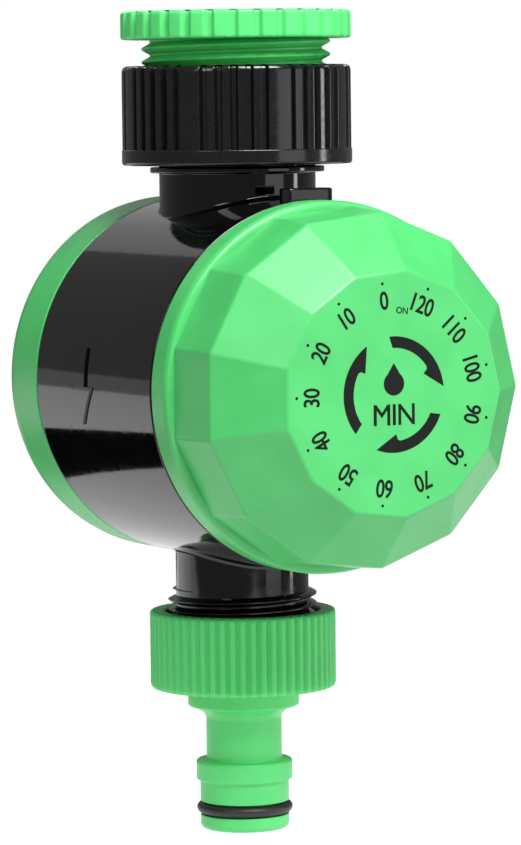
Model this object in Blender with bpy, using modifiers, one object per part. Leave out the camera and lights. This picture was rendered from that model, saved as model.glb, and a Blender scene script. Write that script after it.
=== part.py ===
"""Tap water timer for drip irrigation: a clockwork dial that turns a disc valve between a tap and a hose.

Units are metres and +Z is up. The origin is the centre of the tap adapter's mouth, the water runs down
the Z axis, and the dial faces -Y.
"""

import math

import bmesh
import bpy
from mathutils import Vector

MM = 0.001

# Clearances
GAP = 0.3 * MM  # between two still pieces that meet
RUNNING = 0.3 * MM  # round a piece that turns
BITE = 0.3 * MM  # how far two shapes of one moulding reach into each other
TOUCHING = 0.01 * MM  # two corners of an outline that are nearer than this are one

# Facets of a full turn
FINE, ROUND, MEDIUM, COARSE = 36, 24, 20, 8
THREAD_FACETS = 16
THREAD_TURN = math.pi / THREAD_FACETS  # between the corners of a ridge and of the wall that carries it

# Tap adapter: a G3/4 female thread inside, a G1 male thread outside
ADAPTER_HEIGHT = 17.9 * MM
KNURL_RADIUS = 20.1 * MM
KNURL_HEIGHT = 4.8 * MM
KNURL_COUNT = 30
KNURL_DEPTH = 0.7 * MM
KNURL_HALF_ANGLE = math.radians(2.2)  # half of a groove's width
ADAPTER_SEAT_RADIUS = 9.0 * MM  # hole in the shoulder that the tap washer rests on
ADAPTER_SEAT_HEIGHT = 3.5 * MM
TAP_WASHER_HEIGHT = 2.2 * MM
TAP_WASHER_HOLE = 8.0 * MM

# Threads: pitch, outer radius of the male crest and radius of its root
G1_PITCH, G1_CREST, G1_ROOT = 2.309 * MM, 16.5 * MM, 15.0 * MM
G34_PITCH, G34_CREST, G34_ROOT = 1.814 * MM, 13.09 * MM, 11.63 * MM
THREAD_CLEARANCE = 0.4 * MM
THREAD_HALF_FOOT, THREAD_HALF_CREST = 0.34, 0.1  # of the pitch
THREAD_END = 0.8  # of the pitch, left bare where a thread runs out

# Captive inlet nut
NUT_RADIUS = 20.07 * MM
NUT_HEIGHT = 17.2 * MM
NUT_COLLAR_HEIGHT = 2.7 * MM
NUT_LIP_HEIGHT = 3.0 * MM
NUT_LIP_CLEARANCE = 0.6 * MM  # round the neck
NUT_RIB_GROUPS = 8
NUT_GROOVES = 5  # in each group
NUT_GROOVE_SPACING = math.radians(7.7)
NUT_GROOVE_DEPTH = 0.9 * MM
NUT_GROOVE_HALF_ANGLE = math.radians(1.6)
NUT_RIB_PHASE = math.radians(15)  # of the first group's middle, from the +X axis
THREAD_SHOWN = 4.6 * MM  # bare adapter thread between its flange and the nut
NECK_SHOWN = 5.815 * MM  # bare neck between the nut and the round body

# Neck, sleeve and inlet seals
NECK_RADIUS = 13.63 * MM
NECK_REACH = 3.8 * MM  # neck inside the nut
STOP_RING_RADIUS = 15.2 * MM
STOP_RING_HEIGHT = 1.0 * MM
STOP_RING_DROP = 0.35 * MM  # below the nut
SLEEVE_RADIUS = 10.4 * MM
SLEEVE_BORE = 8.8 * MM
SLEEVE_LENGTH = 10.5 * MM
SLEEVE_FLANGE_RADIUS = 15.6 * MM
SLEEVE_FLANGE_HEIGHT = 1.8 * MM
STRAINER_RADIUS = 8.4 * MM
STRAINER_RIM_RADIUS = 11.0 * MM
STRAINER_WALL = 0.6 * MM
STRAINER_DEPTH = 11.0 * MM
STRAINER_SLOTS = 8
STRAINER_SLOT_WIDTH = 1.2 * MM
INLET_WASHER_RADIUS = 15.0 * MM

# Round body, its axis along Y
BODY_RADIUS = 31.585 * MM
BODY_AHEAD = 26.8 * MM  # from the pipe axis to the joint with the dial
BODY_BEHIND = 16.5 * MM  # from the pipe axis to the joint with the rear cover
SHELL_WALL = 2.4 * MM
BULKHEAD_FACE = 13.0 * MM  # front face of the wall between the water and the clockwork
BULKHEAD_WALL = 2.5 * MM
POINTER_WIDTH = 8.4 * MM
POINTER_RISE = 2.0 * MM
POINTER_LENGTH = 3.8 * MM
POINTER_SETBACK = 0.6 * MM  # from the joint with the dial
ARROW_LENGTH = 13.9 * MM
ARROW_WIDTH = 9.2 * MM
ARROW_STEM_WIDTH = 3.9 * MM
ARROW_RISE = 0.4 * MM
ARROW_AHEAD = 0.9 * MM  # its middle, forward of the pipe axis

# Valve block inside the body
CHAMBER_RADIUS = 12.5 * MM
BLOCK_RADIUS = CHAMBER_RADIUS + 4.5 * MM
BLOCK_BACK = 13.1 * MM
CHAMBER_FLOOR = 3.0 * MM
VALVE_WALL = 2.5 * MM
CAVITY_RADIUS = CHAMBER_RADIUS - 1.7 * MM
CAVITY_TOP = 9.0 * MM
PORT_CIRCLE = CHAMBER_RADIUS - 3.9 * MM
PORT_RADIUS = 1.7 * MM
INLET_BORE = 9.3 * MM
INLET_PIPE_RADIUS = 12.0 * MM
INLET_PORT_RADIUS = 4.5 * MM
OUTLET_BORE = 8.6 * MM
OUTLET_PORT_RADIUS = 3.9 * MM
BORE_FLOOR = BLOCK_RADIUS + 2 * GAP  # where both wide bores stop, from the dial axis

# Valve pieces
SHAFT_RADIUS = 2.3 * MM
SEAT_HEIGHT = 1.7 * MM
ROTOR_HEIGHT = 1.9 * MM
ROTOR_RADIUS = CHAMBER_RADIUS - 0.9 * MM
ROTOR_HUB_RADIUS = SHAFT_RADIUS + 1.9 * MM
ROTOR_HUB_HEIGHT = 1.4 * MM
ROTOR_SLOT_MARGIN = 0.3 * MM
ROTOR_OVERLAP = math.radians(0.4)  # of the land past the port, with the dial anywhere between off marks
SPRING_WIRE = 0.45 * MM
SPRING_TURNS = 3
SPRING_WASHER_HEIGHT = 0.6 * MM
CAP_RADIUS = BLOCK_RADIUS
CAP_HEIGHT = 2.6 * MM
CAP_PLUG_LENGTH = 2.4 * MM
CAP_PLUG_WALL = 3.4 * MM
SPRING_RADIUS = (ROTOR_HUB_RADIUS + CHAMBER_RADIUS - CAP_PLUG_WALL) / 2 - SPRING_WIRE
CAP_BOSS_RADIUS = SHAFT_RADIUS + 2.7 * MM
CAP_BOSS_HEIGHT = 3.0 * MM
CAP_SEAL_SECTION = 0.6 * MM
CAP_GROOVE_DEPTH = 1.6 * CAP_SEAL_SECTION
CAP_SCREW_RADIUS = 0.9 * MM
CAP_SCREW_LENGTH = 6.0 * MM
CAP_SCREW_COUNT = 3
CAP_SCREW_PHASE = math.radians(30)
SHAFT_SEAL_SECTION = 0.9 * MM
GLAND_RADIUS = SHAFT_RADIUS + 2.7 * MM
GLAND_DEPTH = 3.0 * MM
GLAND_FLANGE_RADIUS = GLAND_RADIUS + 1.6 * MM
GLAND_FLANGE_HEIGHT = 1.2 * MM

# Rear cover
COVER_DEPTH = 12.1 * MM
COVER_WALL = 2.2 * MM
COVER_ROUND = 2.5 * MM
COVER_SCREW_COUNT = 4
COVER_SCREW_RADIUS = 1.3 * MM
COVER_SCREW_HEAD_RADIUS = 2.7 * MM
COVER_SCREW_HEAD_HEIGHT = 1.8 * MM
COVER_SCREW_LENGTH = 20.0 * MM
BOSS_RADIUS = 3.4 * MM

# Dial
DIAL_DEPTH = 25.76 * MM
DIAL_SIDES = 13
DIAL_FLANGE_DEPTH = 5.2 * MM
DIAL_FLANGE_ROUND = 1.2 * MM
DIAL_BASE_RADIUS = BODY_RADIUS - 0.585 * MM  # of the corners, at the flange
DIAL_SHOULDER_RADIUS = BODY_RADIUS - 1.555 * MM
DIAL_SHOULDER_DEPTH = 15.85 * MM  # from the joint to the ridge between the two tiers
DIAL_FACE_RADIUS = 20.6 * MM
DIAL_ZERO_ANGLE = math.radians(6.39)  # of the zero mark, anticlockwise from the top
DIAL_WALL = 1.6 * MM
DIAL_FRONT_WALL = 2.0 * MM
DIAL_HUB_RADIUS = SHAFT_RADIUS + 2.7 * MM
DIAL_HUB_CLEARANCE = 2.0 * MM  # from the clock screws' heads

# Clockwork: two plates on pillars and a train whose arbors stand on one circle round the dial's shaft
PLATE_HEIGHT = 1.2 * MM
CLOCK_SETBACK = 5.0 * MM  # from the bulkhead to the back plate
CLOCK_TOP_ROOM = 1.2 * MM  # from the great wheel's pinion to the front plate
PILLAR_RADIUS = 2.2 * MM
PILLAR_ANGLES = [math.radians(angle) for angle in (-62, 69, 190)]
CLOCK_SCREW_RADIUS = 1.1 * MM
CLOCK_SCREW_HEAD_RADIUS = 2.2 * MM
CLOCK_SCREW_HEAD_HEIGHT = 1.5 * MM
CLOCK_SCREW_LENGTH = 8.0 * MM
GREAT_TEETH, WHEEL_TEETH, PINION_TEETH = 40, 32, 8
ESCAPE_TEETH = 12
ESCAPE_SHARE = 0.6  # of the wheels' radius
FIRST_ARBOR_ANGLE = math.radians(-20)
ESCAPE_ROOT_SHARE = 0.74  # of the escape wheel's radius
ESCAPE_TOOTH_FRONT, ESCAPE_TOOTH_BACK = 0.25, 0.85  # of a tooth's pitch, from its tip
TOOTH_TIP, TOOTH_ROOT = 0.8, 1.1  # modules from the pitch circle
TOOTH_HALF_TIP, TOOTH_HALF_FOOT = 0.09, 0.26  # of a tooth's pitch
WHEEL_THICKNESS = 1.2 * MM
PINION_LENGTH = 2.2 * MM
ARBOR_RADIUS = 0.8 * MM
GREAT_LEVEL = 12.4 * MM  # levels are from the back plate's front face
SECOND_LEVEL = 8.0 * MM
THIRD_LEVEL = 10.0 * MM
THIRD_PINION_LEVEL = 7.5 * MM
BALANCE_LEVEL = 10.6 * MM
MAINSPRING_WIDTH = 5.6 * MM
MAINSPRING_STRIP = 0.5 * MM
MAINSPRING_TURNS = 4
MAINSPRING_FACETS = 12
MAINSPRING_PITCH = 1.5 * MM
BALANCE_RADIUS = 6.6 * MM
BALANCE_RIM = 1.4 * MM
LEVER_WIDTH = 1.6 * MM
PALLET_OUTSIDE, PALLET_INSIDE = 1.6, 0.8  # lever widths from its centre line

# Outlet and hose connector
OUTLET_SHOWN = 8.915 * MM  # from the round body to the connector's top
OUTLET_REACH = 9.0 * MM  # outlet thread inside the connector
OUTLET_THREAD_LEAD = 4.3 * MM  # bare thread above the connector
CONNECTOR_RADIUS = 16.34 * MM
CONNECTOR_NUT_HEIGHT = 13.7 * MM
CONNECTOR_RIBS = 56
CONNECTOR_RIB_DEPTH = 0.6 * MM
CONNECTOR_CAVITY_DEPTH = 11.4 * MM
CONNECTOR_BORE = 4.6 * MM
CONNECTOR_COLLAR_RADIUS = 9.8 * MM
CONNECTOR_COLLAR_HEIGHT = 3.2 * MM
CONNECTOR_FLARE_HEIGHT = 1.6 * MM
STEM_RADIUS = 6.65 * MM
STEM_LENGTH = 8.0 * MM
RIDGE_RADIUS = 8.45 * MM
RIDGE_HEIGHT = 3.5 * MM
BARREL_RADIUS = 7.8 * MM
BARREL_LENGTH = 8.7 * MM
TIP_ROUND = 0.9 * MM
ORING_SECTION = 0.9 * MM
ORING_PROUD = 0.62 * MM
ORING_RISE = 3.7 * MM  # its centre above the tip
ORING_FACETS = 8  # round its section
CONNECTOR_WASHER_HEIGHT = 1.8 * MM

# Heights, from the adapter's mouth down
ADAPTER_BOTTOM = -ADAPTER_HEIGHT
NUT_TOP = -(KNURL_HEIGHT + THREAD_SHOWN)
NUT_BOTTOM = NUT_TOP - NUT_HEIGHT
NUT_LIP_TOP = NUT_BOTTOM + NUT_LIP_HEIGHT
NECK_TOP = NUT_BOTTOM + NECK_REACH
AXIS_Z = NUT_BOTTOM - NECK_SHOWN - BODY_RADIUS
CONNECTOR_TOP = AXIS_Z - BODY_RADIUS - OUTLET_SHOWN
OUTLET_END = CONNECTOR_TOP - OUTLET_REACH
CAVITY_FLOOR = CONNECTOR_TOP - CONNECTOR_CAVITY_DEPTH
STEM_TOP = CONNECTOR_TOP - CONNECTOR_NUT_HEIGHT - CONNECTOR_COLLAR_HEIGHT - CONNECTOR_FLARE_HEIGHT
TIP_BOTTOM = STEM_TOP - STEM_LENGTH - RIDGE_HEIGHT - BARREL_LENGTH

# Depths along the dial's axis, forward of the pipe axis
BODY_FRONT = BODY_AHEAD - GAP
BODY_BACK = -BODY_BEHIND + GAP
SHELL_RADIUS = BODY_RADIUS - SHELL_WALL
BACK_PLATE = BULKHEAD_FACE + CLOCK_SETBACK
TRAIN_FLOOR = BACK_PLATE + PLATE_HEIGHT
FRONT_PLATE = TRAIN_FLOOR + GREAT_LEVEL + PINION_LENGTH + CLOCK_TOP_ROOM
DIAL_FRONT = BODY_AHEAD + DIAL_DEPTH
DIAL_CAVITY_FRONT = DIAL_FRONT - DIAL_FRONT_WALL
CLOCK_HEADS_FRONT = FRONT_PLATE + PLATE_HEIGHT + GAP + CLOCK_SCREW_HEAD_HEIGHT
FLAT_SHARE = math.cos(math.pi / DIAL_SIDES)  # a polygon's flats over its corners
DIAL_CAVITY_RADIUS = DIAL_SHOULDER_RADIUS * FLAT_SHARE - DIAL_WALL

# Sizes that follow from the room in the dial
PLATE_RADIUS = DIAL_CAVITY_RADIUS - 2 * RUNNING
CAVITY_SHOULDER = BODY_AHEAD + DIAL_SHOULDER_DEPTH - DIAL_WALL  # the dial narrows forward of here
HEADS_IN_CROWN = max(0.0, CLOCK_HEADS_FRONT - CAVITY_SHOULDER)
PILLAR_CIRCLE = PLATE_RADIUS - CLOCK_SCREW_HEAD_RADIUS - GAP - HEADS_IN_CROWN
GEAR_MODULE = (PLATE_RADIUS - PILLAR_RADIUS) / ((GREAT_TEETH + PINION_TEETH + WHEEL_TEETH) / 2 + 1)
ARBOR_CIRCLE = GEAR_MODULE * (GREAT_TEETH + PINION_TEETH) / 2
ARBOR_SPACING = GEAR_MODULE * (WHEEL_TEETH + PINION_TEETH) / 2
ARBOR_STEP = 2 * math.asin(ARBOR_SPACING / 2 / ARBOR_CIRCLE)
BOSS_CIRCLE = SHELL_RADIUS - BOSS_RADIUS + 2 * BITE
CAP_SCREW_CIRCLE = (CHAMBER_RADIUS + BLOCK_RADIUS) / 2
COVER_BACK = -BODY_BEHIND - COVER_DEPTH
COVER_SCREW_SEAT = COVER_BACK + COVER_SCREW_HEAD_HEIGHT + GAP
PORT_ANGLE = math.asin(PORT_RADIUS / PORT_CIRCLE)
# The rotor's land keeps the port shut from the rest place to the zero mark.
ROTOR_LAND = 2 * (PORT_ANGLE + ROTOR_OVERLAP) + DIAL_ZERO_ANGLE


def finish(name, red, green, blue, roughness, metallic=0.0):
    material = bpy.data.materials.new(name)
    material.use_nodes = True
    shader = material.node_tree.nodes["Principled BSDF"]
    shader.inputs["Base Color"].default_value = (red, green, blue, 1.0)
    shader.inputs["Roughness"].default_value = roughness
    shader.inputs["Metallic"].default_value = metallic
    material.diffuse_color = (red, green, blue, 1.0)
    return material


for leftover in list(bpy.data.objects):
    bpy.data.objects.remove(leftover)
parts = bpy.data.collections.new("tap_timer")
tools = bpy.data.collections.new("cutters")
for group in (parts, tools):
    bpy.context.scene.collection.children.link(group)

GREEN = finish("green_plastic", 0.16, 0.72, 0.22, 0.35)
BLACK = finish("black_plastic", 0.012, 0.012, 0.013, 0.15)
RUBBER = finish("black_rubber", 0.02, 0.02, 0.02, 0.7)
WHITE = finish("white_plastic", 0.75, 0.75, 0.72, 0.4)
STEEL = finish("steel", 0.55, 0.56, 0.58, 0.3, 1.0)
BRASS = finish("brass", 0.72, 0.52, 0.2, 0.3, 1.0)


# Placing


# Under this empty +Z is forward, out of the dial's face, +Y is up and +X is to the right.
dial_axis = bpy.data.objects.new("dial_axis", None)
dial_axis.location = (0, 0, AXIS_Z)
dial_axis.rotation_euler = (math.pi / 2, 0, 0)
parts.objects.link(dial_axis)


def place(name, mesh, material, parent=None, at=(0, 0, 0), turn=0.0):
    """A piece of the timer."""
    obj = bpy.data.objects.new(name, mesh)
    obj.parent = parent
    obj.location = at
    obj.rotation_euler = (0, 0, turn)
    mesh.materials.append(material)
    parts.objects.link(obj)
    return obj


def tool(name, mesh, parent=None, at=(0, 0, 0), turn=0.0):
    """A shape that a Boolean adds to a piece or takes from it."""
    obj = bpy.data.objects.new(name, mesh)
    obj.parent = parent
    obj.location = at
    obj.rotation_euler = (0, 0, turn)
    obj.hide_render = True
    obj.display_type = "WIRE"
    tools.objects.link(obj)
    return obj


def combine(obj, operation, other):
    modifier = obj.modifiers.new(other.name, "BOOLEAN")
    modifier.operation = operation
    modifier.object = other


def add(obj, other):
    combine(obj, "UNION", other)


def cut(obj, other):
    combine(obj, "DIFFERENCE", other)


def polar(radius, angle):
    return radius * math.cos(angle), radius * math.sin(angle)


# Shapes


def side(*steps):
    """The side of a stack of cylinders, from the top down, each as (radius, top, bottom)."""
    return [point for radius, top, bottom in steps for point in ((radius, top), (radius, bottom))]


def solid(*steps):
    points = side(*steps)
    return [(0.0, points[0][1]), *points, (0.0, points[-1][1])]


def hollow(outer, inner):
    """A ring's section: down its outer side and up its bore."""
    points = side(*outer) + side(*inner)[::-1]
    return [*points, points[0]]


def ring(outer, bore, top, bottom):
    return hollow([(outer, top, bottom)], [(bore, top, bottom)])


def section(points):
    """A profile in the XZ plane, for a Screw modifier."""
    mesh = bpy.data.meshes.new("section")
    shape = bmesh.new()
    corners = [shape.verts.new((radius, 0, height)) for radius, height in points]
    for first, second in zip(corners, corners[1:]):
        shape.edges.new((first, second))
    bmesh.ops.remove_doubles(shape, verts=shape.verts, dist=1e-7)
    shape.to_mesh(mesh)
    shape.free()
    return mesh


def revolve(obj, facets):
    screw = obj.modifiers.new("turned", "SCREW")
    screw.steps = screw.render_steps = facets
    screw.use_merge_vertices = True
    screw.merge_threshold = 0.00001
    screw.use_smooth_shade = False
    return obj


def turned(name, points, material, facets=MEDIUM, **where):
    return revolve(place(name, section(points), material, **where), facets)


def turned_tool(name, points, facets=MEDIUM, **where):
    return revolve(tool(name, section(points), **where), facets)


def torus_section(radius, thickness, height, corners=6):
    points = []
    for index in range(corners + 1):
        around, up = polar(thickness, -math.tau * index / corners)
        points.append((radius + around, height + up))
    return points


def prism(outline, low, high):
    mesh = bpy.data.meshes.new("prism")
    shape = bmesh.new()
    face = shape.faces.new([shape.verts.new((x, y, low)) for x, y in outline])
    grown = bmesh.ops.extrude_face_region(shape, geom=[face])["geom"]
    risen = [item for item in grown if isinstance(item, bmesh.types.BMVert)]
    bmesh.ops.translate(shape, verts=risen, vec=(0, 0, high - low))
    bmesh.ops.remove_doubles(shape, verts=shape.verts, dist=1e-7)
    bmesh.ops.recalc_face_normals(shape, faces=shape.faces)
    shape.to_mesh(mesh)
    shape.free()
    return mesh


def swept(points, turns, facets, rise=0.0):
    """A closed section carried round the Z axis, climbing by rise each turn."""
    mesh = bpy.data.meshes.new("swept")
    shape = bmesh.new()
    shape.faces.new([shape.verts.new((radius, 0, height)) for radius, height in points])
    steps = round(turns * facets)
    bmesh.ops.spin(
        shape,
        geom=[*shape.verts, *shape.edges, *shape.faces],
        cent=(0, 0, 0),
        axis=(0, 0, 1),
        dvec=(0, 0, rise / facets),
        angle=math.tau * turns,
        steps=steps,
    )
    bmesh.ops.recalc_face_normals(shape, faces=shape.faces)
    shape.to_mesh(mesh)
    shape.free()
    return mesh


def rods(places, radius, low, high, facets=COARSE):
    """Separate upright cylinders as one mesh."""
    mesh = bpy.data.meshes.new("rods")
    shape = bmesh.new()
    for x, y in places:
        made = bmesh.ops.create_cone(
            shape, cap_ends=True, segments=facets, radius1=radius, radius2=radius, depth=high - low
        )
        bmesh.ops.translate(shape, verts=made["verts"], vec=(x, y, (low + high) / 2))
    shape.to_mesh(mesh)
    shape.free()
    return mesh


def block(low, high):
    mesh = bpy.data.meshes.new("block")
    shape = bmesh.new()
    bmesh.ops.create_cube(shape, size=1.0)
    centre = (Vector(low) + Vector(high)) / 2
    bmesh.ops.scale(shape, verts=shape.verts, vec=Vector(high) - Vector(low))
    bmesh.ops.translate(shape, verts=shape.verts, vec=centre)
    shape.to_mesh(mesh)
    shape.free()
    return mesh


def notched(radius, depth, half_width, centres):
    """A circle's outline with a V notch at each angle."""
    points = []
    for centre in centres:
        points.append(polar(radius, centre - half_width))
        points.append(polar(radius - depth, centre))
        points.append(polar(radius, centre + half_width))
    kept = [points[0]]
    for point in points[1:]:
        if math.dist(point, kept[-1]) > TOUCHING:
            kept.append(point)
    if math.dist(kept[0], kept[-1]) < TOUCHING:
        kept.pop()
    return kept


def evenly(count, start=0.0):
    return [start + math.tau * index / count for index in range(count)]


def gear_outline(teeth):
    """Trapezoid teeth with generous backlash, a tooth on the +X axis."""
    pitch_radius = GEAR_MODULE * teeth / 2
    tip, root = pitch_radius + TOOTH_TIP * GEAR_MODULE, pitch_radius - TOOTH_ROOT * GEAR_MODULE
    half_tip, half_foot = TOOTH_HALF_TIP * math.tau / teeth, TOOTH_HALF_FOOT * math.tau / teeth
    points = []
    for centre in evenly(teeth):
        points += [polar(root, centre - half_foot), polar(tip, centre - half_tip)]
        points += [polar(tip, centre + half_tip), polar(root, centre + half_foot)]
    return points


def thread_ridge(pitch, foot, crest, low, turns):
    """A thread's ridge, from its foot inside the wall that carries it to its crest."""
    middle = low + THREAD_HALF_FOOT * pitch
    half_crest = THREAD_HALF_CREST * pitch
    points = [(foot, low), (foot, 2 * middle - low)]
    points += [(crest, middle + half_crest), (crest, middle - half_crest)]
    return swept(points, turns, THREAD_FACETS, pitch)


def male_thread(pitch, crest, root, low, turns):
    return thread_ridge(pitch, root - BITE, crest, low, turns)


def female_thread(pitch, crest, root, low, turns):
    return thread_ridge(pitch, crest + THREAD_CLEARANCE + BITE, root + THREAD_CLEARANCE, low, turns)


def thread_turns(length, pitch):
    """Whole facets of thread that fit in this length."""
    return math.floor((length / pitch - THREAD_END) * THREAD_FACETS) / THREAD_FACETS


# Tap adapter


def make_adapter():
    knurl = notched(KNURL_RADIUS, KNURL_DEPTH, KNURL_HALF_ANGLE, evenly(KNURL_COUNT))
    adapter = place("thread_adapter", prism(knurl, -KNURL_HEIGHT, 0), GREEN)
    shank = solid((G1_ROOT, -KNURL_HEIGHT / 2, ADAPTER_BOTTOM))
    add(adapter, turned_tool("adapter_shank", shank, THREAD_FACETS, turn=THREAD_TURN))
    outer_low = ADAPTER_BOTTOM + GAP
    outer_turns = thread_turns(ADAPTER_HEIGHT - KNURL_HEIGHT - 2 * GAP, G1_PITCH)
    outer_thread = male_thread(G1_PITCH, G1_CREST, G1_ROOT, outer_low, outer_turns)
    add(adapter, tool("adapter_outer_thread", outer_thread))
    tap_bore = G34_CREST + THREAD_CLEARANCE
    seat_top = ADAPTER_BOTTOM + ADAPTER_SEAT_HEIGHT
    bore = solid((tap_bore, GAP, seat_top), (ADAPTER_SEAT_RADIUS, seat_top, ADAPTER_BOTTOM - GAP))
    cut(adapter, turned_tool("adapter_bore", bore, THREAD_FACETS, turn=THREAD_TURN))
    inner_low = seat_top + TAP_WASHER_HEIGHT + 3 * GAP
    inner_turns = thread_turns(-inner_low - GAP, G34_PITCH)
    inner_thread = female_thread(G34_PITCH, G34_CREST, G34_ROOT, inner_low, inner_turns)
    add(adapter, tool("adapter_inner_thread", inner_thread))
    washer_low = seat_top + GAP
    washer = ring(G34_ROOT, TAP_WASHER_HOLE, washer_low + TAP_WASHER_HEIGHT, washer_low)
    turned("tap_washer", washer, RUBBER)


# Inlet nut, with the pieces that hold and seal it


def make_inlet():
    middle = (NUT_GROOVES - 1) / 2
    centres = [
        start + (index - middle) * NUT_GROOVE_SPACING
        for start in evenly(NUT_RIB_GROUPS, NUT_RIB_PHASE)
        for index in range(NUT_GROOVES)
    ]
    collar_top = NUT_BOTTOM + NUT_COLLAR_HEIGHT
    ribs = notched(NUT_RADIUS, NUT_GROOVE_DEPTH, NUT_GROOVE_HALF_ANGLE, centres)
    nut = place("inlet_nut", prism(ribs, collar_top - BITE, NUT_TOP), BLACK)
    add(nut, turned_tool("nut_collar", solid((NUT_RADIUS, collar_top, NUT_BOTTOM)), FINE))
    thread_bore = G1_CREST + THREAD_CLEARANCE
    lip_bore = NECK_RADIUS + NUT_LIP_CLEARANCE
    bore = solid((thread_bore, NUT_TOP + GAP, NUT_LIP_TOP), (lip_bore, NUT_LIP_TOP, NUT_BOTTOM - GAP))
    cut(nut, turned_tool("nut_bore", bore, THREAD_FACETS, turn=THREAD_TURN))
    flange_top = NECK_TOP + GAP + SLEEVE_FLANGE_HEIGHT
    # The ridge lies half a pitch from the adapter's, so that the two threads are in mesh.
    first_low = flange_top + GAP
    mesh_low = ADAPTER_BOTTOM + GAP + G1_PITCH / 2
    low = mesh_low - G1_PITCH * math.floor((mesh_low - first_low) / G1_PITCH)
    turns = thread_turns(NUT_TOP - low - GAP, G1_PITCH)
    add(nut, tool("nut_thread", female_thread(G1_PITCH, G1_CREST, G1_ROOT, low, turns)))

    flange = (SLEEVE_FLANGE_RADIUS, flange_top, NECK_TOP + GAP)
    tube = (SLEEVE_RADIUS, NECK_TOP + GAP, NECK_TOP + GAP - SLEEVE_LENGTH)
    sleeve = hollow([flange, tube], [(SLEEVE_BORE, flange[1], tube[2])])
    turned("inlet_sleeve", sleeve, BLACK)

    rim_low = flange_top + GAP
    rim_top = rim_low + STRAINER_WALL
    cup = hollow(
        [(STRAINER_RIM_RADIUS, rim_top, rim_low), (STRAINER_RADIUS, rim_low, rim_low - STRAINER_DEPTH)],
        [(STRAINER_RADIUS - STRAINER_WALL, rim_top, rim_low - STRAINER_DEPTH)],
    )
    strainer = turned("inlet_strainer", cup, WHITE)
    floor = solid((STRAINER_RADIUS, rim_low - STRAINER_DEPTH + STRAINER_WALL, rim_low - STRAINER_DEPTH))
    add(strainer, turned_tool("strainer_floor", floor))
    for index in range(STRAINER_SLOTS // 2):
        half = STRAINER_SLOT_WIDTH / 2
        low_corner = (-STRAINER_RIM_RADIUS, -half, rim_low - STRAINER_DEPTH + 2 * STRAINER_WALL)
        slot = block(low_corner, (STRAINER_RIM_RADIUS, half, rim_low - 2 * STRAINER_WALL))
        angle = math.tau * (index + 0.5) / STRAINER_SLOTS
        cut(strainer, tool(f"strainer_slot_{index}", slot, turn=angle))

    washer_low = rim_top + GAP
    turned("inlet_washer", ring(INLET_WASHER_RADIUS, SLEEVE_BORE, ADAPTER_BOTTOM - GAP, washer_low), RUBBER)


# Valve body


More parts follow.
